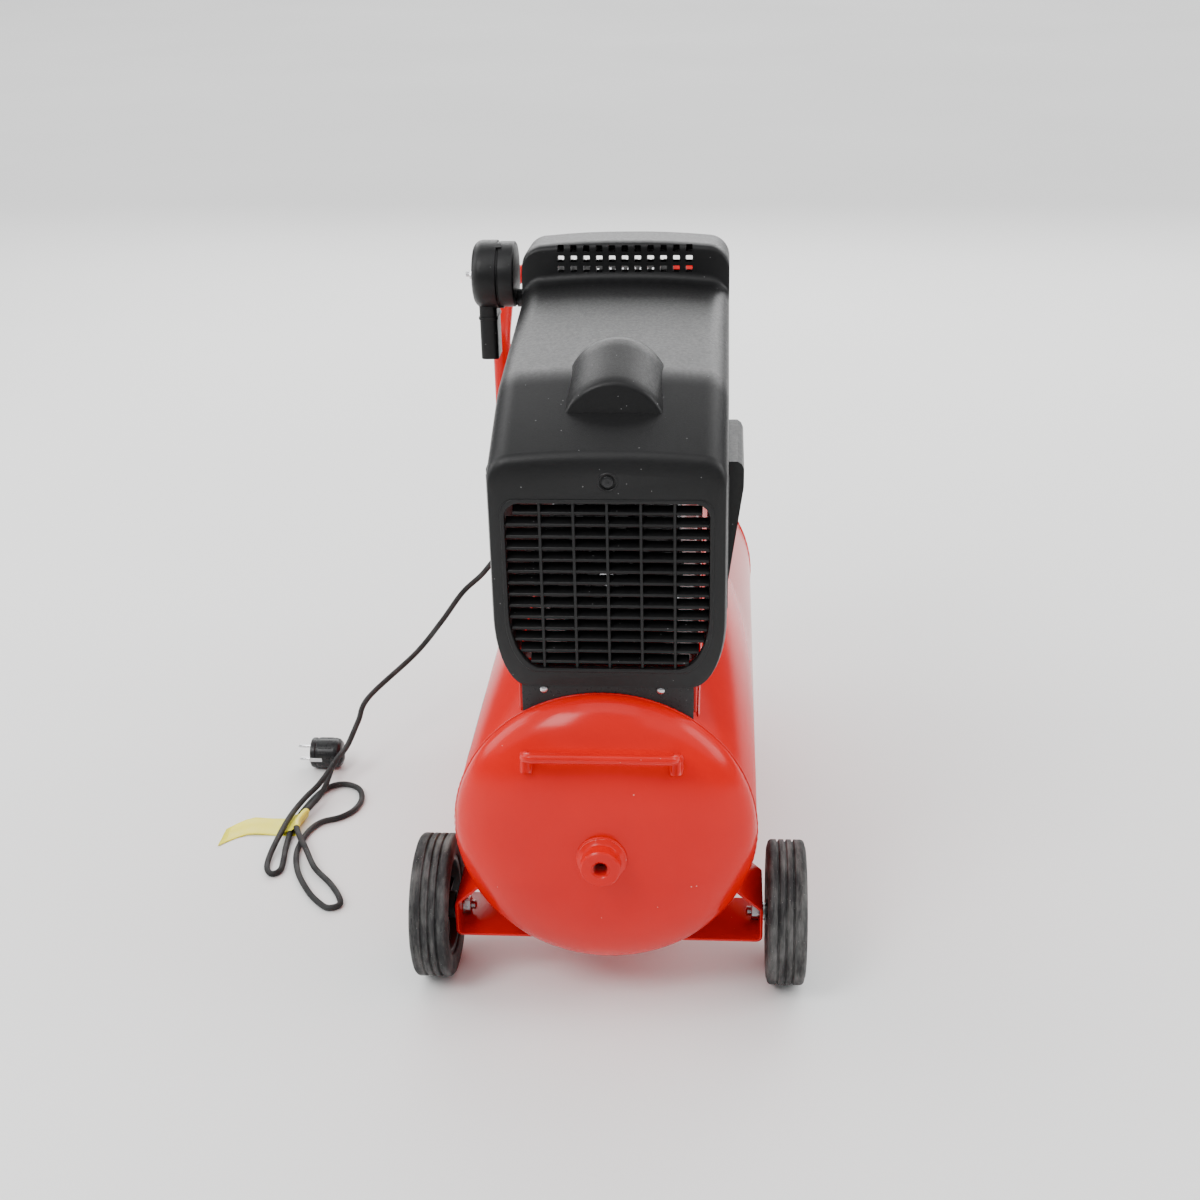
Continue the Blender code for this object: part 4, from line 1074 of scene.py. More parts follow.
def pod_fill(bm, side):
    """A bulge that widens upwards on the shroud's side."""
    reach = POD_REACH[side]
    wall = pod_wall(side)
    outline = [(-8, 430), (0.5, 445), (reach, 543), (reach, 560)]
    outline += [(reach - 2, 565), (reach - 6, 568), (-8, 568)]
    prism(bm, [(wall + side * x, z) for x, z in outline], "y", 55.0, 175.0)


def pod_ribs(bm, side):
    """Upright grooves in the side bulges, to cut away."""
    wall = pod_wall(side)
    reach = POD_REACH[side]
    depth = 2.0 if side > 0 else 1.3
    for slot in range(7):
        y = 68.0 + slot * 14.6
        outline = [(reach - depth, 552), (0.2, 456), (8, 452), (reach + 6, 552)]
        prism(bm, [(wall + side * x, z) for x, z in outline], "y", y, y + 6.0)


def vent_fill(bm):
    for row in range(3):
        for hole in range(11):
            x = UNIT_X + (hole - 5) * 13.9
            z = 666.5 + row * 11.0
            rounded_block(bm, (x - 3.6, 372, z - 3.6), (x + 3.6, 406, z + 3.6), 0.9, "y", 2)


def moulding(name, item):
    """Names a carved solid and gives it the black moulding's material."""
    item.name = name
    item.data.materials.append(BLACK[0])
    return item


def shroud():
    item = moulding("shroud_moulding", tool(shroud_solid, 0.0))
    carve(item, [tool(scoop_fill), tool(pod_fill, -1), tool(pod_fill, 1)], "UNION")
    hollow = moulding("hollow", tool(shroud_solid, SHROUD_WALL))
    lip = tool(block, (UNIT_X - 110, SHROUD_END - 4, 668), (UNIT_X + 110, SHROUD_END + 20, 720))
    backing = tool(block, (UNIT_X - 80, 384, 659), (UNIT_X + 80, 399, 720))
    carve(hollow, [lip, backing])
    low = (UNIT_X - 90, SHROUD_FRONT + SHROUD_WALL, SHROUD_FOOT - 10)
    high = (UNIT_X + 90, SHROUD_END + 10, SHROUD_FOOT + 11)
    intake = [(0, UNIT_X - 125), (12.5, UNIT_X - 125), (12.5, UNIT_X - 90), (0, UNIT_X - 90)]
    recess = [(0, -7), (BADGE_R, -7), (BADGE_R, -3.4), (0, -3.4)]
    cuts = [hollow, tool(block, low, high), tool(scoop_fill, SHROUD_WALL)]
    cuts.append(tool(prism, window_outline(0.3), "y", SHROUD_FRONT - 5, SHROUD_FRONT + 8))
    cuts.append(tool(lathe, intake, "x", (0, CYLINDER_Y, INTAKE_Z), 48))
    cuts += [tool(vent_fill), tool(pod_ribs, -1), tool(pod_ribs, 1)]
    cuts.append(tool(lathe, recess, "y", (BADGE_X, 0, BADGE_Z), 48))
    carve(item, cuts)
    edge = soft_edges(item, 0.8, 2, 38)
    edge.harden_normals = True
    join(item, BLACK, ["shroud"])
    star_screw()
    rim_beads()


def star_screw():
    """A moulded rim, and a screw with a star recess, above the grille."""
    centre = (BADGE_X, 0, BADGE_Z)
    rim = [(BADGE_R - 0.2, -3.6), (BADGE_R - 0.2, -5.4), (BADGE_R + 0.8, -6.0)]
    rim += [(BADGE_R + 1.8, -5.2), (BADGE_R + 1.8, -3.6)]
    turned("recess_rim", rim, "y", centre, BLACK, (), 0.3)
    bm = bmesh.new()
    head = [(0, -3.3), (5.6, -3.3), (5.8, -4.0), (5.2, -4.9), (3.6, -5.3), (0, -5.3)]
    lathe(bm, rounded(head, 0.3), "y", centre, 48)
    repeated(bm, (-0.55, -5.5, 0.4), (0.55, -5.2, 3.1), "Y", centre, range(0, 360, 60))
    add("star_screw", bm, DARK, smooth=40)


def rim_beads():
    """The folded lip down each side of the shroud's near edge."""
    for side, label in SIDES:
        points = []
        for step in range(24):
            z = 440 + step * 132 / 23
            points.append((pod_wall(side) - side * 0.5, 9.0 + 0.5 * math.sin(step * 0.2), z))
        curve_piece("rim_bead_" + label, points, 1.0, BLACK)


def window_half(z):
    """Half the width of the grille opening at a height."""
    if z >= WINDOW_LOW + WINDOW_CURVE:
        return WINDOW_HALF
    share = min(1.0, 1 - (z - WINDOW_LOW) / WINDOW_CURVE)
    return WINDOW_HALF - LOWER_WIDTH + LOWER_WIDTH * math.sin(math.acos(share))


def fan_grille():
    bm = bmesh.new()
    slats = 14
    for slat in range(slats):
        z = WINDOW_LOW + (slat + 0.72) * (WINDOW_HIGH - WINDOW_LOW) / (slats + 0.35)
        half = min(window_half(z), window_half(z - 4)) - 0.1
        if slat == slats - 1:
            half -= 7
        outline = [(-3.6, z - 3.6), (-3.0, z - 4.6), (6.4, z + 0.6)]
        outline += [(6.8, z + 1.8), (5.8, z + 2.4), (-3.4, z - 1.6)]
        prism(bm, outline, "x", GRILLE_X - half, GRILLE_X + half)
    for bar in range(5):
        x = GRILLE_X + (bar - 2) * BAR_PITCH
        outline = [(x - 1.3, -4.0), (x + 1.3, -4.0), (x + 1.7, 7.4), (x - 1.7, 7.4)]
        prism(bm, outline, "z", WINDOW_LOW - 2.0, WINDOW_HIGH + 2.0)
    add("grille_slats", bm, BLACK, ["fan_grille"], bevel=0.45)
    rim = moulding("grille_rim", tool(prism, window_outline(4.2), "y", -6.3, 2.0))
    carve(rim, [tool(prism, window_outline(0.2), "y", -9, 5)])
    soft_edges(rim, 1.1, 4, 60)
    join(rim, BLACK)


def end_plate():
    bm = bmesh.new()
    top = 375.0
    outline = [(UNIT_X + 80, top), (UNIT_X - 80, top), (UNIT_X - 82, top - 2)]
    start = math.degrees(math.acos((-82.0 + UNIT_X) / (TANK_R + 0.5)))
    stop = math.degrees(math.acos((82.0 + UNIT_X) / (TANK_R + 0.5)))
    outline += arc((0, TANK_Z), TANK_R + 0.6, start, stop, 48) + [(UNIT_X + 82, top - 2)]
    prism(bm, outline, "y", 0.0, STRIP)
    add("front_sheet", bm, DARK, ["end_plate"], bevel=0.5)
    screws("front_sheet_screws", [(-56, 357), (56, 357)], "y", 3.9, -0.1, -2.8)
    half = 85.0 - STRIP / 2
    foot = TANK_Z + math.sqrt(TANK_R ** 2 - (85 - STRIP - UNIT_X) ** 2) + 0.3
    line = [(UNIT_X - half, foot), (UNIT_X - half, PLATFORM_TOP - 1.5), (UNIT_X + half, PLATFORM_TOP - 1.5)]
    line.append((UNIT_X + half, foot))
    bent_strip("platform_sheet", line, 6.0, 3.3, 470.0, ["motor_platform"])
    for side, label in SIDES:
        welds = []
        for step in range(150):
            x = UNIT_X + side * 86.2
            z = TANK_Z + math.sqrt(TANK_R ** 2 - x ** 2) + 0.6
            welds.append((x, 12 + step * 3.0, z))
        weld_bead("weld_platform_" + label, welds, 1.7, 51 + side)


# ---------------------------------------------------------------- motor and pump

def motor():
    bm = bmesh.new()
    fins = 40
    outline = []
    for turn in turns(fins):
        for radius, share in ((MOTOR_R - 6, -0.46), (MOTOR_R, -0.17), (MOTOR_R, 0.17), (MOTOR_R - 6, 0.46)):
            angle = turn + share * 2 * math.pi / fins
            outline.append((UNIT_X + radius * math.cos(angle), MOTOR_Z + radius * math.sin(angle)))
    prism(bm, outline, "y", STATOR_START, STATOR_END)
    for outer, inner, step in ((MOTOR_START, STATOR_START, 3), (MOTOR_END, STATOR_END, -3)):
        ring = [(STATOR_BORE, outer), (MOTOR_R - 3, outer), (MOTOR_R, outer + step)]
        ring += [(MOTOR_R, inner), (STATOR_BORE, inner)]
        lathe(bm, rounded(ring, 1.2), "y", (UNIT_X, 0, MOTOR_Z), 72)
    item = add("motor_case", bm, ALLOY, ["motor_housing"], smooth=35)
    radius = STATOR_BORE - 0.3
    bore = [(0, STATOR_START - 1), (radius, STATOR_START - 1), (radius, STATOR_END + 1)]
    bore += [(0, STATOR_END + 1)]
    carve(item, [tool(lathe, bore, "y", (UNIT_X, 0, MOTOR_Z), 72)])
    bm = bmesh.new()
    for x in (-52, 52):
        for y in (112, 252):
            low = (UNIT_X + x - 13, y, PLATFORM_TOP + 0.3)
            rounded_block(bm, low, (UNIT_X + x + 13, y + 26, 394), 4.0, "z")
            block(bm, (UNIT_X + x * 0.82 - 4, y + 9, 392), (UNIT_X + x * 0.82 + 4, y + 17, 428))
    add("motor_feet", bm, ALLOY, bevel=1.0)
    bm = bmesh.new()
    for x in (-57, 57):
        for y in (125, 265):
            centre = (UNIT_X + x, y, 0)
            bolt(bm, "z", centre, (7.5, 3.0, 11.0), (394.05, 395.6, 401.6))
            lathe(bm, [(0, 401), (3, 401), (3, 405.5), (2.4, 406), (0, 406)], "z", centre, 20)
    add("motor_foot_bolts", bm, ZINC, smooth=30)
    winding()


def winding():
    """The bound copper coil ends inside both ends of the stator."""
    for low, label in ((82, "rear"), (274, "front")):
        bm = bmesh.new()
        for angle in turns(18):
            here = Vector((UNIT_X + 38.5 * math.cos(angle), low + 11, MOTOR_Z + 38.5 * math.sin(angle)))
            stretch = Matrix.Translation(here) @ Matrix.Diagonal((1.0, 1.5, 1.0, 1.0))
            bmesh.ops.create_icosphere(bm, subdivisions=2, radius=6.4, matrix=stretch)
        add("winding_" + label, bm, COPPER_WIRE, smooth=60)


def cooling_fan():
    """A moulded fan: hub, ring and eight leaning, curved blades."""
    bm = bmesh.new()
    centre = (UNIT_X, 0, MOTOR_Z)
    hub = [(SHAFT_R + 0.3, 21.5), (12, 21.5), (13, 22.5), (18.4, 24)]
    hub += [(19.4, 26), (19.4, 49), (SHAFT_R + 0.3, 49)]
    lathe(bm, rounded(hub, 0.7), "y", centre, 56)
    plate = [(19.0, 46.6), (64, 46.6), (FAN_R, 48.0), (FAN_R, 49.4), (19.0, 49.0)]
    lathe(bm, rounded(plate, 0.4), "y", centre, 96)
    for turn in turns(8):
        fan_blade(bm, turn)
    add("fan_blades", bm, on("crank", DARK), ["cooling_fan"], smooth=50)
    bm = bmesh.new()
    washer(bm, "y", centre, 14.0, SHAFT_R + 0.15, 20.2, 21.4)
    add("fan_clip", bm, on("crank", DARK, "zinc_steel"), smooth=30)


def fan_blade(bm, turn):
    """One leaning, curved blade: two skins of points, joined round their rims."""
    across = 7
    along = 4
    skins = []
    for surface in (-0.9, 0.9):
        grid = []
        for share in [step / across for step in range(across + 1)]:
            radius = FAN_ROOT + (FAN_R - FAN_ROOT) * share
            lean = 0.34 * share ** 1.4
            row = []
            for t in [edge / along for edge in range(along + 1)]:
                angle = turn + lean + (t - 0.5) * (0.62 - 0.30 * share) + surface / radius
                x = UNIT_X + radius * math.cos(angle)
                row.append(bm.verts.new((x, 23.5 + 23.4 * t, MOTOR_Z + radius * math.sin(angle))))
            grid.append(row)
        skins.append(grid)
    near, far = skins
    for i in range(across):
        for j in range(along):
            for grid in skins:
                bm.faces.new([grid[i][j], grid[i][j + 1], grid[i + 1][j + 1], grid[i + 1][j]])
        for j in (0, along):
            bm.faces.new([near[i][j], near[i + 1][j], far[i + 1][j], far[i][j]])
    for i in (0, across):
        for j in range(along):
            bm.faces.new([near[i][j], far[i][j], far[i][j + 1], near[i][j + 1]])


def cylinder_and_head():
    outline = [(BORE_R + 0.1, CYLINDER_FOOT), (38, CYLINDER_FOOT)]
    outline += [(38, CYLINDER_FOOT + 6.6), (30, CYLINDER_FOOT + 8)]
    z = CYLINDER_FOOT + 12
    while z < CYLINDER_TOP - 10:
        outline += [(30, z), (40.6, z + 0.5), (40.6, z + 2.0), (30, z + 2.6)]
        z += 6.6
    outline += [(30, CYLINDER_TOP - 6), (37, CYLINDER_TOP - 5), (37, CYLINDER_TOP)]
    outline += [(BORE_R + 0.1, CYLINDER_TOP)]
    turned("finned_barrel", outline, "z", (UNIT_X, CYLINDER_Y, 0), ALLOY, ["cylinder"], 0, 72, 40,
           bevel=0.3, segments=1)
    low = CYLINDER_TOP + 3.6
    bm = bmesh.new()
    near = CYLINDER_Y - HEAD_HALF
    far = CYLINDER_Y + HEAD_HALF
    rounded_block(bm, (UNIT_X - HEAD_HALF, near, low), (UNIT_X + HEAD_HALF, far, HEAD_TOP - 16), 6.0, "z")
    for fin in range(11):
        x = UNIT_X - HEAD_HALF + 2.6 + fin * 6.88
        inset = 3.2 if fin in (0, 10) else 0.4
        outline = [(near + inset, HEAD_TOP - 16.4), (far - inset, HEAD_TOP - 16.4)]
        outline += [(far - inset - 1.5, HEAD_TOP)]
        outline.append((near + inset + 1.5, HEAD_TOP))
        prism(bm, outline, "x", x - 1.3, x + 1.3)
    add("finned_head", bm, ALLOY, ["cylinder_head"], bevel=0.5)
    places = [(UNIT_X + x, CYLINDER_Y + y) for x in (-30, 30) for y in (-30, 30)]
    bolts("head_bolts", places, "z", (6.2, 2.6, 9.4), (HEAD_TOP - 15.9, HEAD_TOP - 14.6, HEAD_TOP - 8.6))


def crankcase_details():
    bm = bmesh.new()
    end = CASE_END
    face = CASE_FACE
    centre = (UNIT_X, 0, MOTOR_Z)
    cover = [(0, end + 0.3), (CASE_R, end + 0.3), (CASE_R, end + 4.4)]
    cover += [(CASE_R - 2.6, end + 6), (48, end + 6)]
    cover += [(46, face), (40, face), (38, end + 7.2), (0, end + 7.2)]
    lathe(bm, rounded(cover, 0.8), "y", centre, 72)
    repeated(bm, (-1.4, end + 6.5, 8), (1.4, end + 8.2, 39), "Y", centre, range(30, 390, 60))
    add("case_cover", bm, ALLOY, ["crankcase_cover"], smooth=40, bevel=0.3, segments=1)
    places = ring_of(6, 54.0, (UNIT_X, MOTOR_Z), 30)
    bolts("case_cover_bolts", places, "y", (4.8, 2.0, 7.4), (end + 6.05, end + 6.9, end + 11.4))
    centre = (UNIT_X, 0, SIGHT_Z)
    sight = [(13, face + 0.3), (13, face + 4.6), (11.6, face + 6.2), (9.4, face + 6.2), (9.4, face + 0.3)]
    turned("sight_ring", sight, "y", centre, BRASS, (), 0.4, 48)
    lens = [(0, face + 0.4), (9.3, face + 0.4), (9.3, face + 4.0), (7, face + 5.2), (0, face + 5.8)]
    turned("sight_lens", lens, "y", centre, GLASS, ["oil_sight_glass"], 0.3, 40)
    spot = [(0, face + 6.05), (2.6, face + 5.65), (2.6, face + 5.95), (0, face + 6.35)]
    turned("sight_spot", spot, "y", centre, RED_PLASTIC, (), 0, 24)
    centre = (UNIT_X + 28, 0, 492)
    plug = [(0, face + 0.3), (6, face + 0.3), (6, face + 9.6), (11, face + 11)]
    plug += [(11, face + 21), (9.6, face + 22.3), (4.5, face + 22.3), (4, face + 21), (0, face + 21)]
    turned("filler_cap", plug, "y", centre, DARK, ["oil_filler_plug"], 0.5, 40)
    ridges("filler_cap_grip", 18, "y", centre, 10.9, 0.5, face + 12, face + 20.6, DARK)


def ridges(name, count, axis, centre, radius, size, low, high, finish):
    """Small half-round ridges round a knob."""
    bm = bmesh.new()
    for angle in turns(count):
        here = axis_point(axis, centre, radius, angle, 0)
        lathe(bm, [(0, low), (size, low + size), (size, high - size), (0, high)], axis, here, 8)
    add(name, bm, finish, smooth=60)


def discharge():
    side = UNIT_X + HEAD_HALF + 0.3
    z = 626.0
    route = [(side, 440, z), (58, 440, z), (PIPE_X, 448, 622), (88, 468, 604)]
    route += [(88, 490, 570), (84, PIPE_Y, 500), (PIPE_X, PIPE_Y, 430), (PIPE_X, PIPE_Y, 372.6)]
    curve_piece("discharge_tube", smooth_path(route, 5), 6.0, TUBE, ["discharge_pipe"], resolution=8)
    valve = [(0, 337), (9, 337), (9, 344), (11, 345), (11, 347.5), (10, 360), (10, 372.3)]
    valve += [(6.2, 372.3), (6.2, 371), (0, 371)]
    foot = (PIPE_X, PIPE_Y, 0)
    turned("valve_body", valve, "z", foot, BRASS, ["check_valve"], 0.5, 48)
    lower = ("z", foot, 24.0, 347.0, 358.0)
    upper = ("z", foot, 19.0, 372.4, 384.0)
    hexagons("tube_nuts", BRASS, lower, upper, ("x", (0, 440, z), 19.0, side + 0.2, side + 11.0))
    bm = bmesh.new()
    centre = (0, PIPE_Y, 353)
    lathe(bm, rounded([(0, 60), (4.4, 60), (4.4, 69.5), (0, 69.5)], 0.4), "x", centre, 24)
    hex_head(bm, "x", centre, 10.0, 64.5, 61.0)
    add("unloader_union", bm, BRASS, smooth=30)
    line = [(60.5, PIPE_Y, 353), (48, 502, 360), (30, 512, 374), (20, 522, 388)]
    line += [(16, 530, 402), (14, 535, 410)]
    curve_piece("unloader_tube", smooth_path(line, 3), 2.2, TUBE)


def air_filter():
    bm = bmesh.new()
    centre = (0, CYLINDER_Y, FILTER_Z)
    back = FILTER_BACK
    face = FILTER_FACE
    body = [(0, back), (34, back), (36, back - 1.5), (36, back - 17), (35, back - 18), (35, back - 19.4)]
    body += [(FILTER_R, back - 20), (FILTER_R, face + 12)]
    body += [(FILTER_R - 11 + 11 * cos, face + 12 - 11.2 * sin) for cos, sin in quarter(8)[1:]]
    body += [(12, face), (10, face + 0.4), (9, face + 1.8), (0, face + 1.8)]
    lathe(bm, rounded(body, 0.6), "x", centre, 80)
    rounded_block(bm, (-160, CYLINDER_Y - 18, 559), (-140, CYLINDER_Y + 18, FILTER_Z), 5.0, "z")
    rounded_block(bm, (-161, CYLINDER_Y - 19, 604), (-139, CYLINDER_Y + 19, 607), 5.5, "z")
    repeated(bm, (-141.5, -4.0, 34.0), (-132.0, 4.0, 37.4), "X", centre, (20, 160, 270))
    add("filter_case", bm, BLACK, ["air_filter"], smooth=35, bevel=0.5)
    bm = bmesh.new()
    block(bm, (-158.4, CYLINDER_Y - 15.6, 558.7), (-141.6, CYLINDER_Y + 15.6, 559.4))
    add("filter_mouth", bm, FOAM)
    bm = bmesh.new()
    hex_head(bm, "x", centre, 10.0, face + 1.4, face - 4.6)
    lathe(bm, [(0, face), (3, face), (3, face - 8.4), (2.4, face - 9), (0, face - 9)], "x", centre, 24)
    washer(bm, "x", centre, 8.0, 3.1, face + 1.5, face + 0.4)
    add("filter_stud", bm, ZINC, smooth=30)
    start = UNIT_X - HEAD_HALF - 0.3
    pipe = [(7, start), (10, start), (10, -60), (11.4, -62), (11.4, -70), (10, -72), (10, back + 0.3)]
    pipe += [(7, back + 0.3)]
    turned("intake_tube", pipe, "x", (0, CYLINDER_Y, INTAKE_Z), BLACK, ["intake_pipe"], 0.5, 40)


# ---------------------------------------------------------------- controls at the handle end

def controls():
    rail_casting()
    pressure_switch()
    knob = [(0, 0.3), (13, 0.3), (14, 2), (14, 11), (12, 15), (9, 16), (5, 15), (0, 14.6)]
    knob = [(radius, SWITCH_TOP + up) for radius, up in knob]
    centre = (UNIT_X, RAIL_Y, 0)
    finish = on("switch_knob", RED_PLASTIC)
    turned("pull_knob", knob, "z", centre, finish, ["switch_knob"], 0.6, 56)
    ridges("pull_knob_grip", 16, "z", centre, 13.7, 0.7, SWITCH_TOP + 2.5, SWITCH_TOP + 11, finish)
    dial = [(0, 600), (11, 600), (12, 603), (15, 605), (15.4, 620), (13.4, 624), (10, 625), (6, 624)]
    dial += [(0, 623.6)]
    centre = (UNIT_X, 0, RAIL_Z)
    finish = on("regulator_knob", DARK)
    turned("regulator_dial", dial, "y", centre, finish, ["regulator_knob"], 0.6, 56)
    ridges("regulator_grip", 20, "y", centre, 15.2, 0.8, 605.4, 620.6, finish)
    gauge("outlet", -60)
    gauge("tank", 70)
    safety_valve()
    coupler()
    drain()


def rail_casting():
    """The brass rail with its neck on the tank, its two arms and the regulator's stem."""
    bm = bmesh.new()
    base = TANK_Z + TANK_R + 0.6
    neck = [(0, base), (13, base), (13, 360), (10.6, 361), (10.6, 384), (0, 384)]
    lathe(bm, rounded(neck, 0.5), "z", (UNIT_X, RAIL_Y, 0), 48)
    hex_head(bm, "z", (UNIT_X, RAIL_Y, 0), 25.0, 362.0, 372.0)
    rounded_block(bm, (UNIT_X - 16, RAIL_Y - 14, 379), (UNIT_X + 16, RAIL_Y + 20, 400), 3.0, "z")
    arms = [(0, -85), (6.5, -85), (6.5, -76), (8.2, -75), (8.2, -45), (6.5, -44), (6.5, 54), (8.2, 55)]
    arms += [(8.2, 82), (6.5, 83), (6.5, 90), (0, 90)]
    lathe(bm, rounded(arms, 0.5), "x", (0, RAIL_Y, RAIL_Z), 40)
    stem = [(0, RAIL_Y), (6.8, RAIL_Y), (6.8, 584), (10, 585), (10, 596), (6.8, 597), (6.8, 599.6)]
    stem += [(0, 599.6)]
    lathe(bm, rounded(stem, 0.4), "y", (UNIT_X, 0, RAIL_Z), 40)
    add("rail_casting", bm, BRASS, ["manifold"], smooth=32, bevel=0.3)


def pressure_switch():
    bm = bmesh.new()
    shells = ((0, SWITCH_LOW, SWITCH_LOW + 12, 5.0), (1.2, SWITCH_LOW + 12.6, SWITCH_TOP - 6, 6.0),
              (1.8, SWITCH_LOW + 11, SWITCH_LOW + 13, 5.0), (5, SWITCH_TOP - 7, SWITCH_TOP - 2, 8.0))
    for inset, foot, top, radius in shells:
        low = (UNIT_X - SWITCH_HALF + inset, RAIL_Y - 36 + inset, foot)
        rounded_block(bm, low, (UNIT_X + SWITCH_HALF - inset, RAIL_Y + 38 - inset, top), radius, "z", 6)
    collar = [(14.6, SWITCH_TOP - 3), (18, SWITCH_TOP - 3), (18, SWITCH_TOP - 0.4), (17, SWITCH_TOP)]
    collar.append((14.6, SWITCH_TOP))
    lathe(bm, collar, "z", (UNIT_X, RAIL_Y, 0), 48)
    for rib in range(5):
        foot = SWITCH_LOW + 20 + rib * 8
        for side in (-1, 1):
            x0, x1 = sorted((UNIT_X + side * (SWITCH_HALF - 2), UNIT_X + side * SWITCH_HALF))
            block(bm, (x0, RAIL_Y - 18, foot), (x1, RAIL_Y + 24, foot + 3))
    add("switch_cover", bm, DARK, ["pressure_switch"], bevel=0.9, segments=3)
    places = [(UNIT_X - 26, RAIL_Y - 24), (UNIT_X + 26, RAIL_Y + 26)]
    screws("switch_screws", places, "z", 3.4, SWITCH_TOP - 2.0, SWITCH_TOP - 0.1)


def gauge(label, x):
    back = RAIL_Y + 6.8
    face = back + 14.65
    centre = (x, 0, RAIL_Z)
    rim = [(0, 0), (16, 0), (19, 1.4), (19.4, 17.4), (20, 18.4), (20, 21), (19.2, 22), (18.2, 22)]
    rim += [(17.8, 20.6)]
    rim = [(radius, back + along) for radius, along in rim + [(17.8, 14.6), (0, 14.6)]]
    turned("gauge_case_" + label, rim, "y", centre, CHROME, ["gauge_" + label], 0.3, 72, 40)
    disc = [(0, face), (17.7, face), (17.7, face + 0.5), (0, face + 0.5)]
    turned("gauge_face_" + label, disc, "y", centre, on("chassis", WHITE_FILM, "nickel_plate"), (), 0, 56, 35)
    bm = bmesh.new()
    for tick in range(31):
        inner, half = (12.6, 0.34) if tick % 5 == 0 else (14.3, 0.18)
        repeated(bm, (-half, face + 0.5, inner), (half, face + 0.62, 16.2), "Y", centre, [-135 + 9 * tick])
    add("gauge_ticks_" + label, bm, on("chassis", BLACK_FILM, "black_plastic"))
    for number in range(7):
        angle = math.radians(-135 + 45 * number)
        numeral(label, 2 * number, x - 9.6 * math.sin(angle), RAIL_Z + 9.6 * math.cos(angle), face + 0.55)
    cap = [(0, back + 16.9), (2.2, back + 16.9), (2.0, back + 18.2), (0, back + 18.6)]
    turned("needle_boss_" + label, cap, "y", centre, on("needle_" + label, DARK), (), 0, 24, 35)
    pane = [(0, back + 19.4), (17.6, back + 19.4), (17.6, back + 20.4), (0, back + 20.9)]
    turned("gauge_glass_" + label, pane, "y", centre, GLASS, (), 0, 56)


def numeral(label, number, x, z, y):
    """A dial number as a filled, extruded text curve."""
    data = bpy.data.curves.new("numeral", "FONT")
    data.body = str(number)
    data.size = 4.4 * MM
    data.extrude = 0.06 * MM
    data.align_x = "CENTER"
    data.align_y = "CENTER"
    data.materials.append(BLACK_FILM[0])
    item = bpy.data.objects.new("dial_" + label + "_" + str(number), data)
    bpy.context.scene.collection.objects.link(item)
    item.location = place((x, y + 0.06, z))
    item.rotation_euler = Euler((math.radians(90), 0, math.radians(180)))
    join(item, on("chassis", BLACK_FILM, "black_plastic"))


def safety_valve():
    centre = (0, RAIL_Y, RAIL_Z)
    valve = [(0, -85.3), (7, -85.3), (7, -96), (6, -97), (6, -108), (4.6, -110), (0, -110)]
    turned("relief_body", valve, "x", centre, BRASS, ["safety_valve"], 0.4, 40)
    hexagons("relief_hexagon", BRASS, ("x", centre, 15.4, -87.0, -95.0))
    finish = on("safety_ring", CHROME)
    stem = [(0, -110.4), (2.6, -110.4), (2.6, -114.6), (0, -114.6)]
    turned("relief_stem", stem, "x", centre, finish, ["safety_ring"], 0.3, 24, 40)
    loop = arc((-119.2, RAIL_Y), 7.0, 180, -171, 39)
    curve_piece("relief_loop", [(x, y, RAIL_Z - 0.6) for x, y in loop], 0.9, finish, cyclic=True)


def coupler():
    centre = (0, RAIL_Y, RAIL_Z)
    body = [(4.2, 90.3), (8.6, 90.3), (8.6, 97.3), (6, 98.2), (6, 116), (5.6, 117), (4.2, 117)]
    turned("coupler_core", body, "x", centre, CHROME, ["quick_coupler"], 0.4, 48)
    item = hexagons("coupler_hexagon", CHROME, ("x", centre, 17.4, 97.6, 91.0))
    carve(item, [tool(lathe, [(0, 88), (6, 88), (6, 100), (0, 100)], "x", centre, 32)])
    finish = on("coupler_sleeve", CHROME)
    sleeve = [(6.5, 101.6), (11, 101.6), (12, 102.6), (12, 104), (11.2, 104.6), (11.2, 106), (11.6, 106.6)]
    sleeve += [(11.6, 112), (12, 112.6), (12, 114), (11, 115), (6.5, 115)]
    turned("coupler_collar", sleeve, "x", centre, finish, ["coupler_sleeve"], 0.25)
    ridges("collar_knurl", 36, "x", centre, 11.5, 0.45, 106.8, 111.8, finish)


def drain():
    top = TANK_Z - TANK_R - 0.3
    centre = (0, DRAIN_Y, 0)
    body = [(0, top), (7, top), (7, 46), (5, 45), (5, 34), (0, 34)]
    turned("drain_body", body, "z", centre, BRASS, ["drain_valve"], 0.4, 40)
    hexagons("drain_hexagon", BRASS, ("z", centre, 13.4, 46.0, 40.0))
    finish = on("drain_knob", CHROME)
    knob = [(0, 33.7), (7.4, 33.7), (8.4, 32.6), (8.6, 26.4), (7.4, 25), (0, 25)]
    turned("drain_wheel", knob, "z", centre, finish, ["drain_knob"], 0.4, 40)
    ridges("drain_wheel_grip", 16, "z", centre, 8.3, 0.5, 26.6, 32.4, finish)


# ---------------------------------------------------------------- mains lead

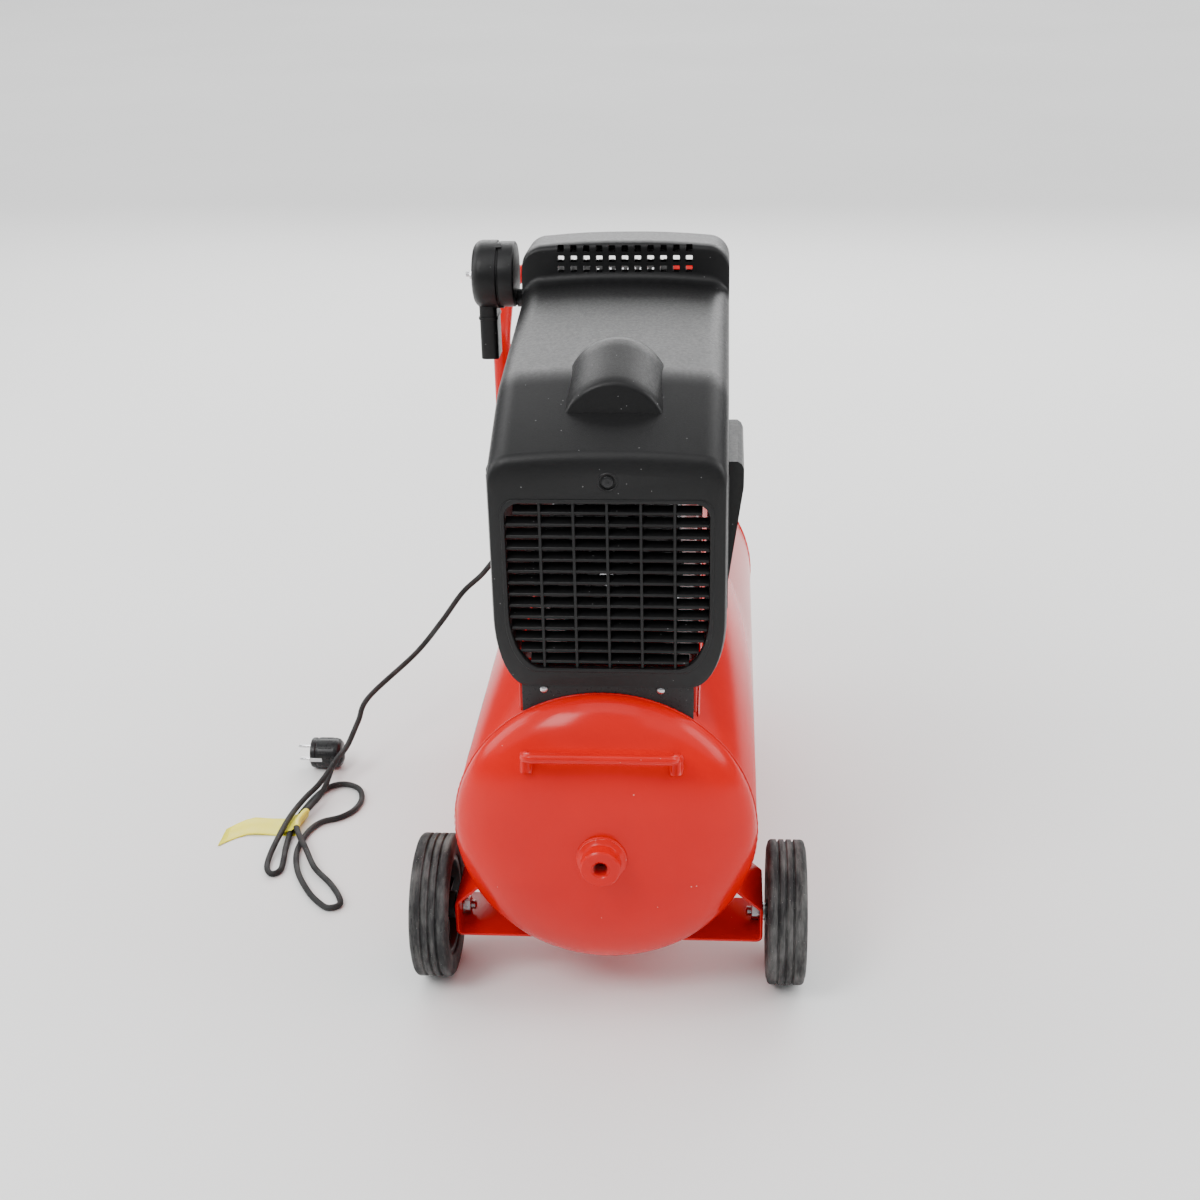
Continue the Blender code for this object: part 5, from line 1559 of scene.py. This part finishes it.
LEAD_ROUTE = [
    (-56.3, LEAD_Y, LEAD_Z), (-84, LEAD_Y, 428), (-118, 535, 396), (-147, 542, 330),
    (-166, 548, 272), (-192, 552, 232), (-222, 553, 202), (-252, 553, 160), (-290, 554, 112),
    (-339, 476, 88), (-350, 451, 66), (-360, 422, 46), (-368, 400, 41), (-376, 381, 33),
    (-387, 365, 22), (-400, 343, 15.5), (-410, 306, 12), (-415, 255, 9), (-417, 225, 4.6),
    (-414, 206, 3.9), (-406, 196, 3.9), (-398, 204, 3.9), (-399, 224, 3.9), (-403, 255, 3.9),
    (-405, 300, 3.9), (-398, 345, 3.9), (-389, 376, 3.9), (-376, 394, 3.9), (-359, 398, 3.9),
    (-341, 387, 3.9), (-333, 362, 3.9), (-338, 337, 3.9), (-352, 320, 3.9), (-371, 310, 3.9),
    (-382, 292, 3.9), (-387, 264, 3.9), (-386, 234, 3.9), (-375, 198, 3.9), (-355, 162, 3.9),
    (-339, 142, 3.9), (-326, 132, 3.9), (-314, 138, 3.9), (-318, 154, 3.9), (-334, 180, 3.9),
    (-358, 208, 6), (-377, 244, 10), (-389, 266, 12.2), (-398, 292, 12.2), (-393, 320, 12.2),
    (-385, 350, 12.6), (-381, 375, 14.5), (PLUG_X, 400, 18.6), (PLUG_X, BOOT_END - 0.3, PLUG_Z),
]


def mains_lead():
    wall = UNIT_X - 38.3
    gland = [(3.6, wall), (9, wall), (9, wall - 5.4), (7.2, wall - 6.4)]
    for ring in range(3):
        x = wall - 8.4 - ring * 4.6
        less = ring * 0.6
        gland += [(6.6 - less, x), (6.9 - less, x - 0.5), (6.9 - less, x - 2.4)]
        gland += [(5.4 - ring * 0.5, x - 2.9)]
    gland += [(4.4, -56), (3.6, -56)]
    finish = on("chassis", RUBBER, "black_plastic")
    turned("gland_boot", gland, "x", (0, LEAD_Y, LEAD_Z), finish, ["cord_gland"], 0.3, 48)
    points = smooth_path(LEAD_ROUTE, 4)
    lead = curve_piece("mains_flex", points, CORD_R, LEAD, ["mains_cord"])
    plug = mains_plug()
    plug.append(tag(points))


def mains_plug():
    """A moulded two-pin plug lying on the floor: a ribbed grip, and a boot that leaves it sideways."""
    tail = -372.6
    centre = (0, PLUG_Y, PLUG_Z)
    finish = on("chassis", DARK, "black_rubber")
    form = [(0, 0), (11, 0), (15.2, 1.4), (18.3, 4.6), (PLUG_R, 9), (PLUG_R, 31), (18.6, 32), (18.6, 33)]
    form += [(PLUG_R, 34), (PLUG_R, 38), (18.4, 40), (16.6, 40), (16.2, 38.6), (0, 38.6)]
    form = [(radius, tail - along) for radius, along in form]
    body = turned("plug_body", form, "x", centre, finish, ["mains_plug"], 0.35, 72)
    boot = [(0, BOOT_END), (4.5, BOOT_END)]
    for ring in range(3):
        y = BOOT_END + 0.8 + ring * 2.6
        size = 5.0 + ring * 0.7
        boot += [(size, y), (size, y + 1.4), (size - 0.8, y + 1.8), (size - 0.8, y + 2.3)]
    boot += [(9.5, BOOT_END + 10), (11.5, PLUG_Y - 10), (0, PLUG_Y - 8)]
    sleeve = turned("plug_boot", boot, "y", (PLUG_X, 0, PLUG_Z), finish, [], 0.3, 48)
    bm = bmesh.new()
    ridge = [(0, tail - 12), (0.7, tail - 13), (0.7, tail - 29), (0, tail - 30)]
    for angle in turns(20):
        lathe(bm, ridge, "x", axis_point("x", centre, PLUG_R - 0.35, angle + math.pi / 20, 0), 8)
    grip = add("plug_grip", bm, finish, smooth=60)
    bm = bmesh.new()
    pin = [(0, tail - 38.4), (2.4, tail - 38.4), (2.4, tail - 55.6), (1.6, tail - 57.8), (0, tail - 58)]
    for offset in (-9.5, 9.5):
        lathe(bm, pin, "x", (0, PLUG_Y, PLUG_Z + offset), 28)
    pins = add("plug_pins", bm, CHROME, smooth=40)
    bm = bmesh.new()
    for side in (-1, 1):
        y0, y1 = sorted((PLUG_Y + side * 14.0, PLUG_Y + side * (PLUG_R + 0.3)))
        block(bm, (tail - 40.4, y0, PLUG_Z - 2.6), (tail - 24, y1, PLUG_Z + 2.6))
    clips = add("plug_clips", bm, on("chassis", ZINC, "brass"), bevel=0.3)
    return [body, sleeve, grip, pins, clips]


def strand(points, y, low, high, left, right):
    """Where a strand of the lead crosses a line of constant y, by its height and side."""
    near = [p for p in points if low < p.z < high and left < p.x < right]
    return min(near, key=lambda p: abs(p.y - y))


def tag(points):
    """A yellow film tape: its tail lies on the floor and it wraps two strands of the lead."""
    bm = bmesh.new()
    grid = []
    rows = 14
    tail = [-487.0, -478.0, -468.0, -457.0, -446.0, -436.0, -427.0, -420.0]
    for row in range(rows + 1):
        offset = -19.0 + 38.0 * row / rows
        y = 301.0 + offset
        top = strand(points, y, 8, 20, -418, -404)
        back = strand(points, y, 8, 20, -404, -385)
        under = strand(points, y, 0, 6, -410, -397)
        upper = []
        lower = []
        for x in tail:
            bend = -26.0 * max(0.0, (-455 - x) / 32) ** 1.5
            wave = 1.0 + 0.9 * math.sin(x * 0.11 + row * 0.16) + 0.3 * math.sin(row * 0.8)
            flat = 1.0 - 0.75 * max(0.0, (x + 440) / 20)
            upper.append((x, y + bend, 0.6 + max(0.0, wave) * flat))
            lower.append((x, y + bend, 0.25 + max(0.0, wave) * 0.8 * flat))
        wrap = [(top.x - 3.0, y, top.z - 7.2), (under.x - 2.6, y, under.z + 3.2)]
        wrap += [(under.x, y, under.z + 3.95)]
        wrap.append((under.x + 2.4, y, under.z + 4.6))
        for angle in (200, 170, 140, 110, 80, 50, 20, -10, -40):
            turn = math.radians(angle)
            wrap.append((back.x + 4.0 * math.cos(turn), y, back.z + 4.0 * math.sin(turn)))
        wrap += [(back.x + 2.0, y, 5.0), (back.x - 1.0, y, 1.2), (back.x - 5.0, y, 0.22)]
        wrap += [(top.x - 2.0, y, 0.2)]
        grid.append([bm.verts.new(point) for point in upper + wrap + lower[::-1]])
    for first, second in zip(grid, grid[1:]):
        for step in range(len(first) - 1):
            bm.faces.new([first[step], first[step + 1], second[step + 1], second[step]])
    item = add("lead_tape", bm, YELLOW, ["cord_tag"], smooth=60)
    thick = item.modifiers.new("thick", "SOLIDIFY")
    thick.thickness = 0.14 * MM
    thick.offset = 0
    return item


# ---------------------------------------------------------------- labels and carried-over nodes

def tank_label(name, angle, low, high, width, finish, lift=0.25):
    """A thin film on the tank's side, from an angle in degrees and lengths along y."""
    bm = bmesh.new()
    half = math.degrees(width / 2 / TANK_R)
    outline = arc((0, TANK_Z), TANK_R + lift, angle - half, angle + half, 20)
    outline += arc((0, TANK_Z), TANK_R - 0.4, angle + half, angle - half, 20)
    prism(bm, outline, "y", low, high)
    return add(name, bm, finish, smooth=30)


def labels():
    tank_label("label_grey", 172, 60, 190, 62, GREY_FILM)
    tank_label("label_yellow", 184, 64, 186, 22, YELLOW, 0.4)
    tank_label("stripe_dark", -8, 120, 420, 34, BLACK_FILM)
    tank_label("stripe_light", -8, 128, 412, 5, WHITE_FILM, 0.4)


def carried_over():
    repaint(STEEL, "rotor", "crankshaft", "valve_plate")
    repaint(ALLOY, "motor_end_bell", "crankcase", "connecting_rod", "piston")
    repaint(RED_PLASTIC, "needle_outlet", "needle_tank")


camera()
studio()
tank()
labels()
axle_brackets()
wheel(-1, "left")
wheel(1, "right")
front_foot()
front_handle()
shroud()
fan_grille()
end_plate()
motor()
cooling_fan()
cylinder_and_head()
crankcase_details()
discharge()
air_filter()
controls()
mains_lead()
carried_over()
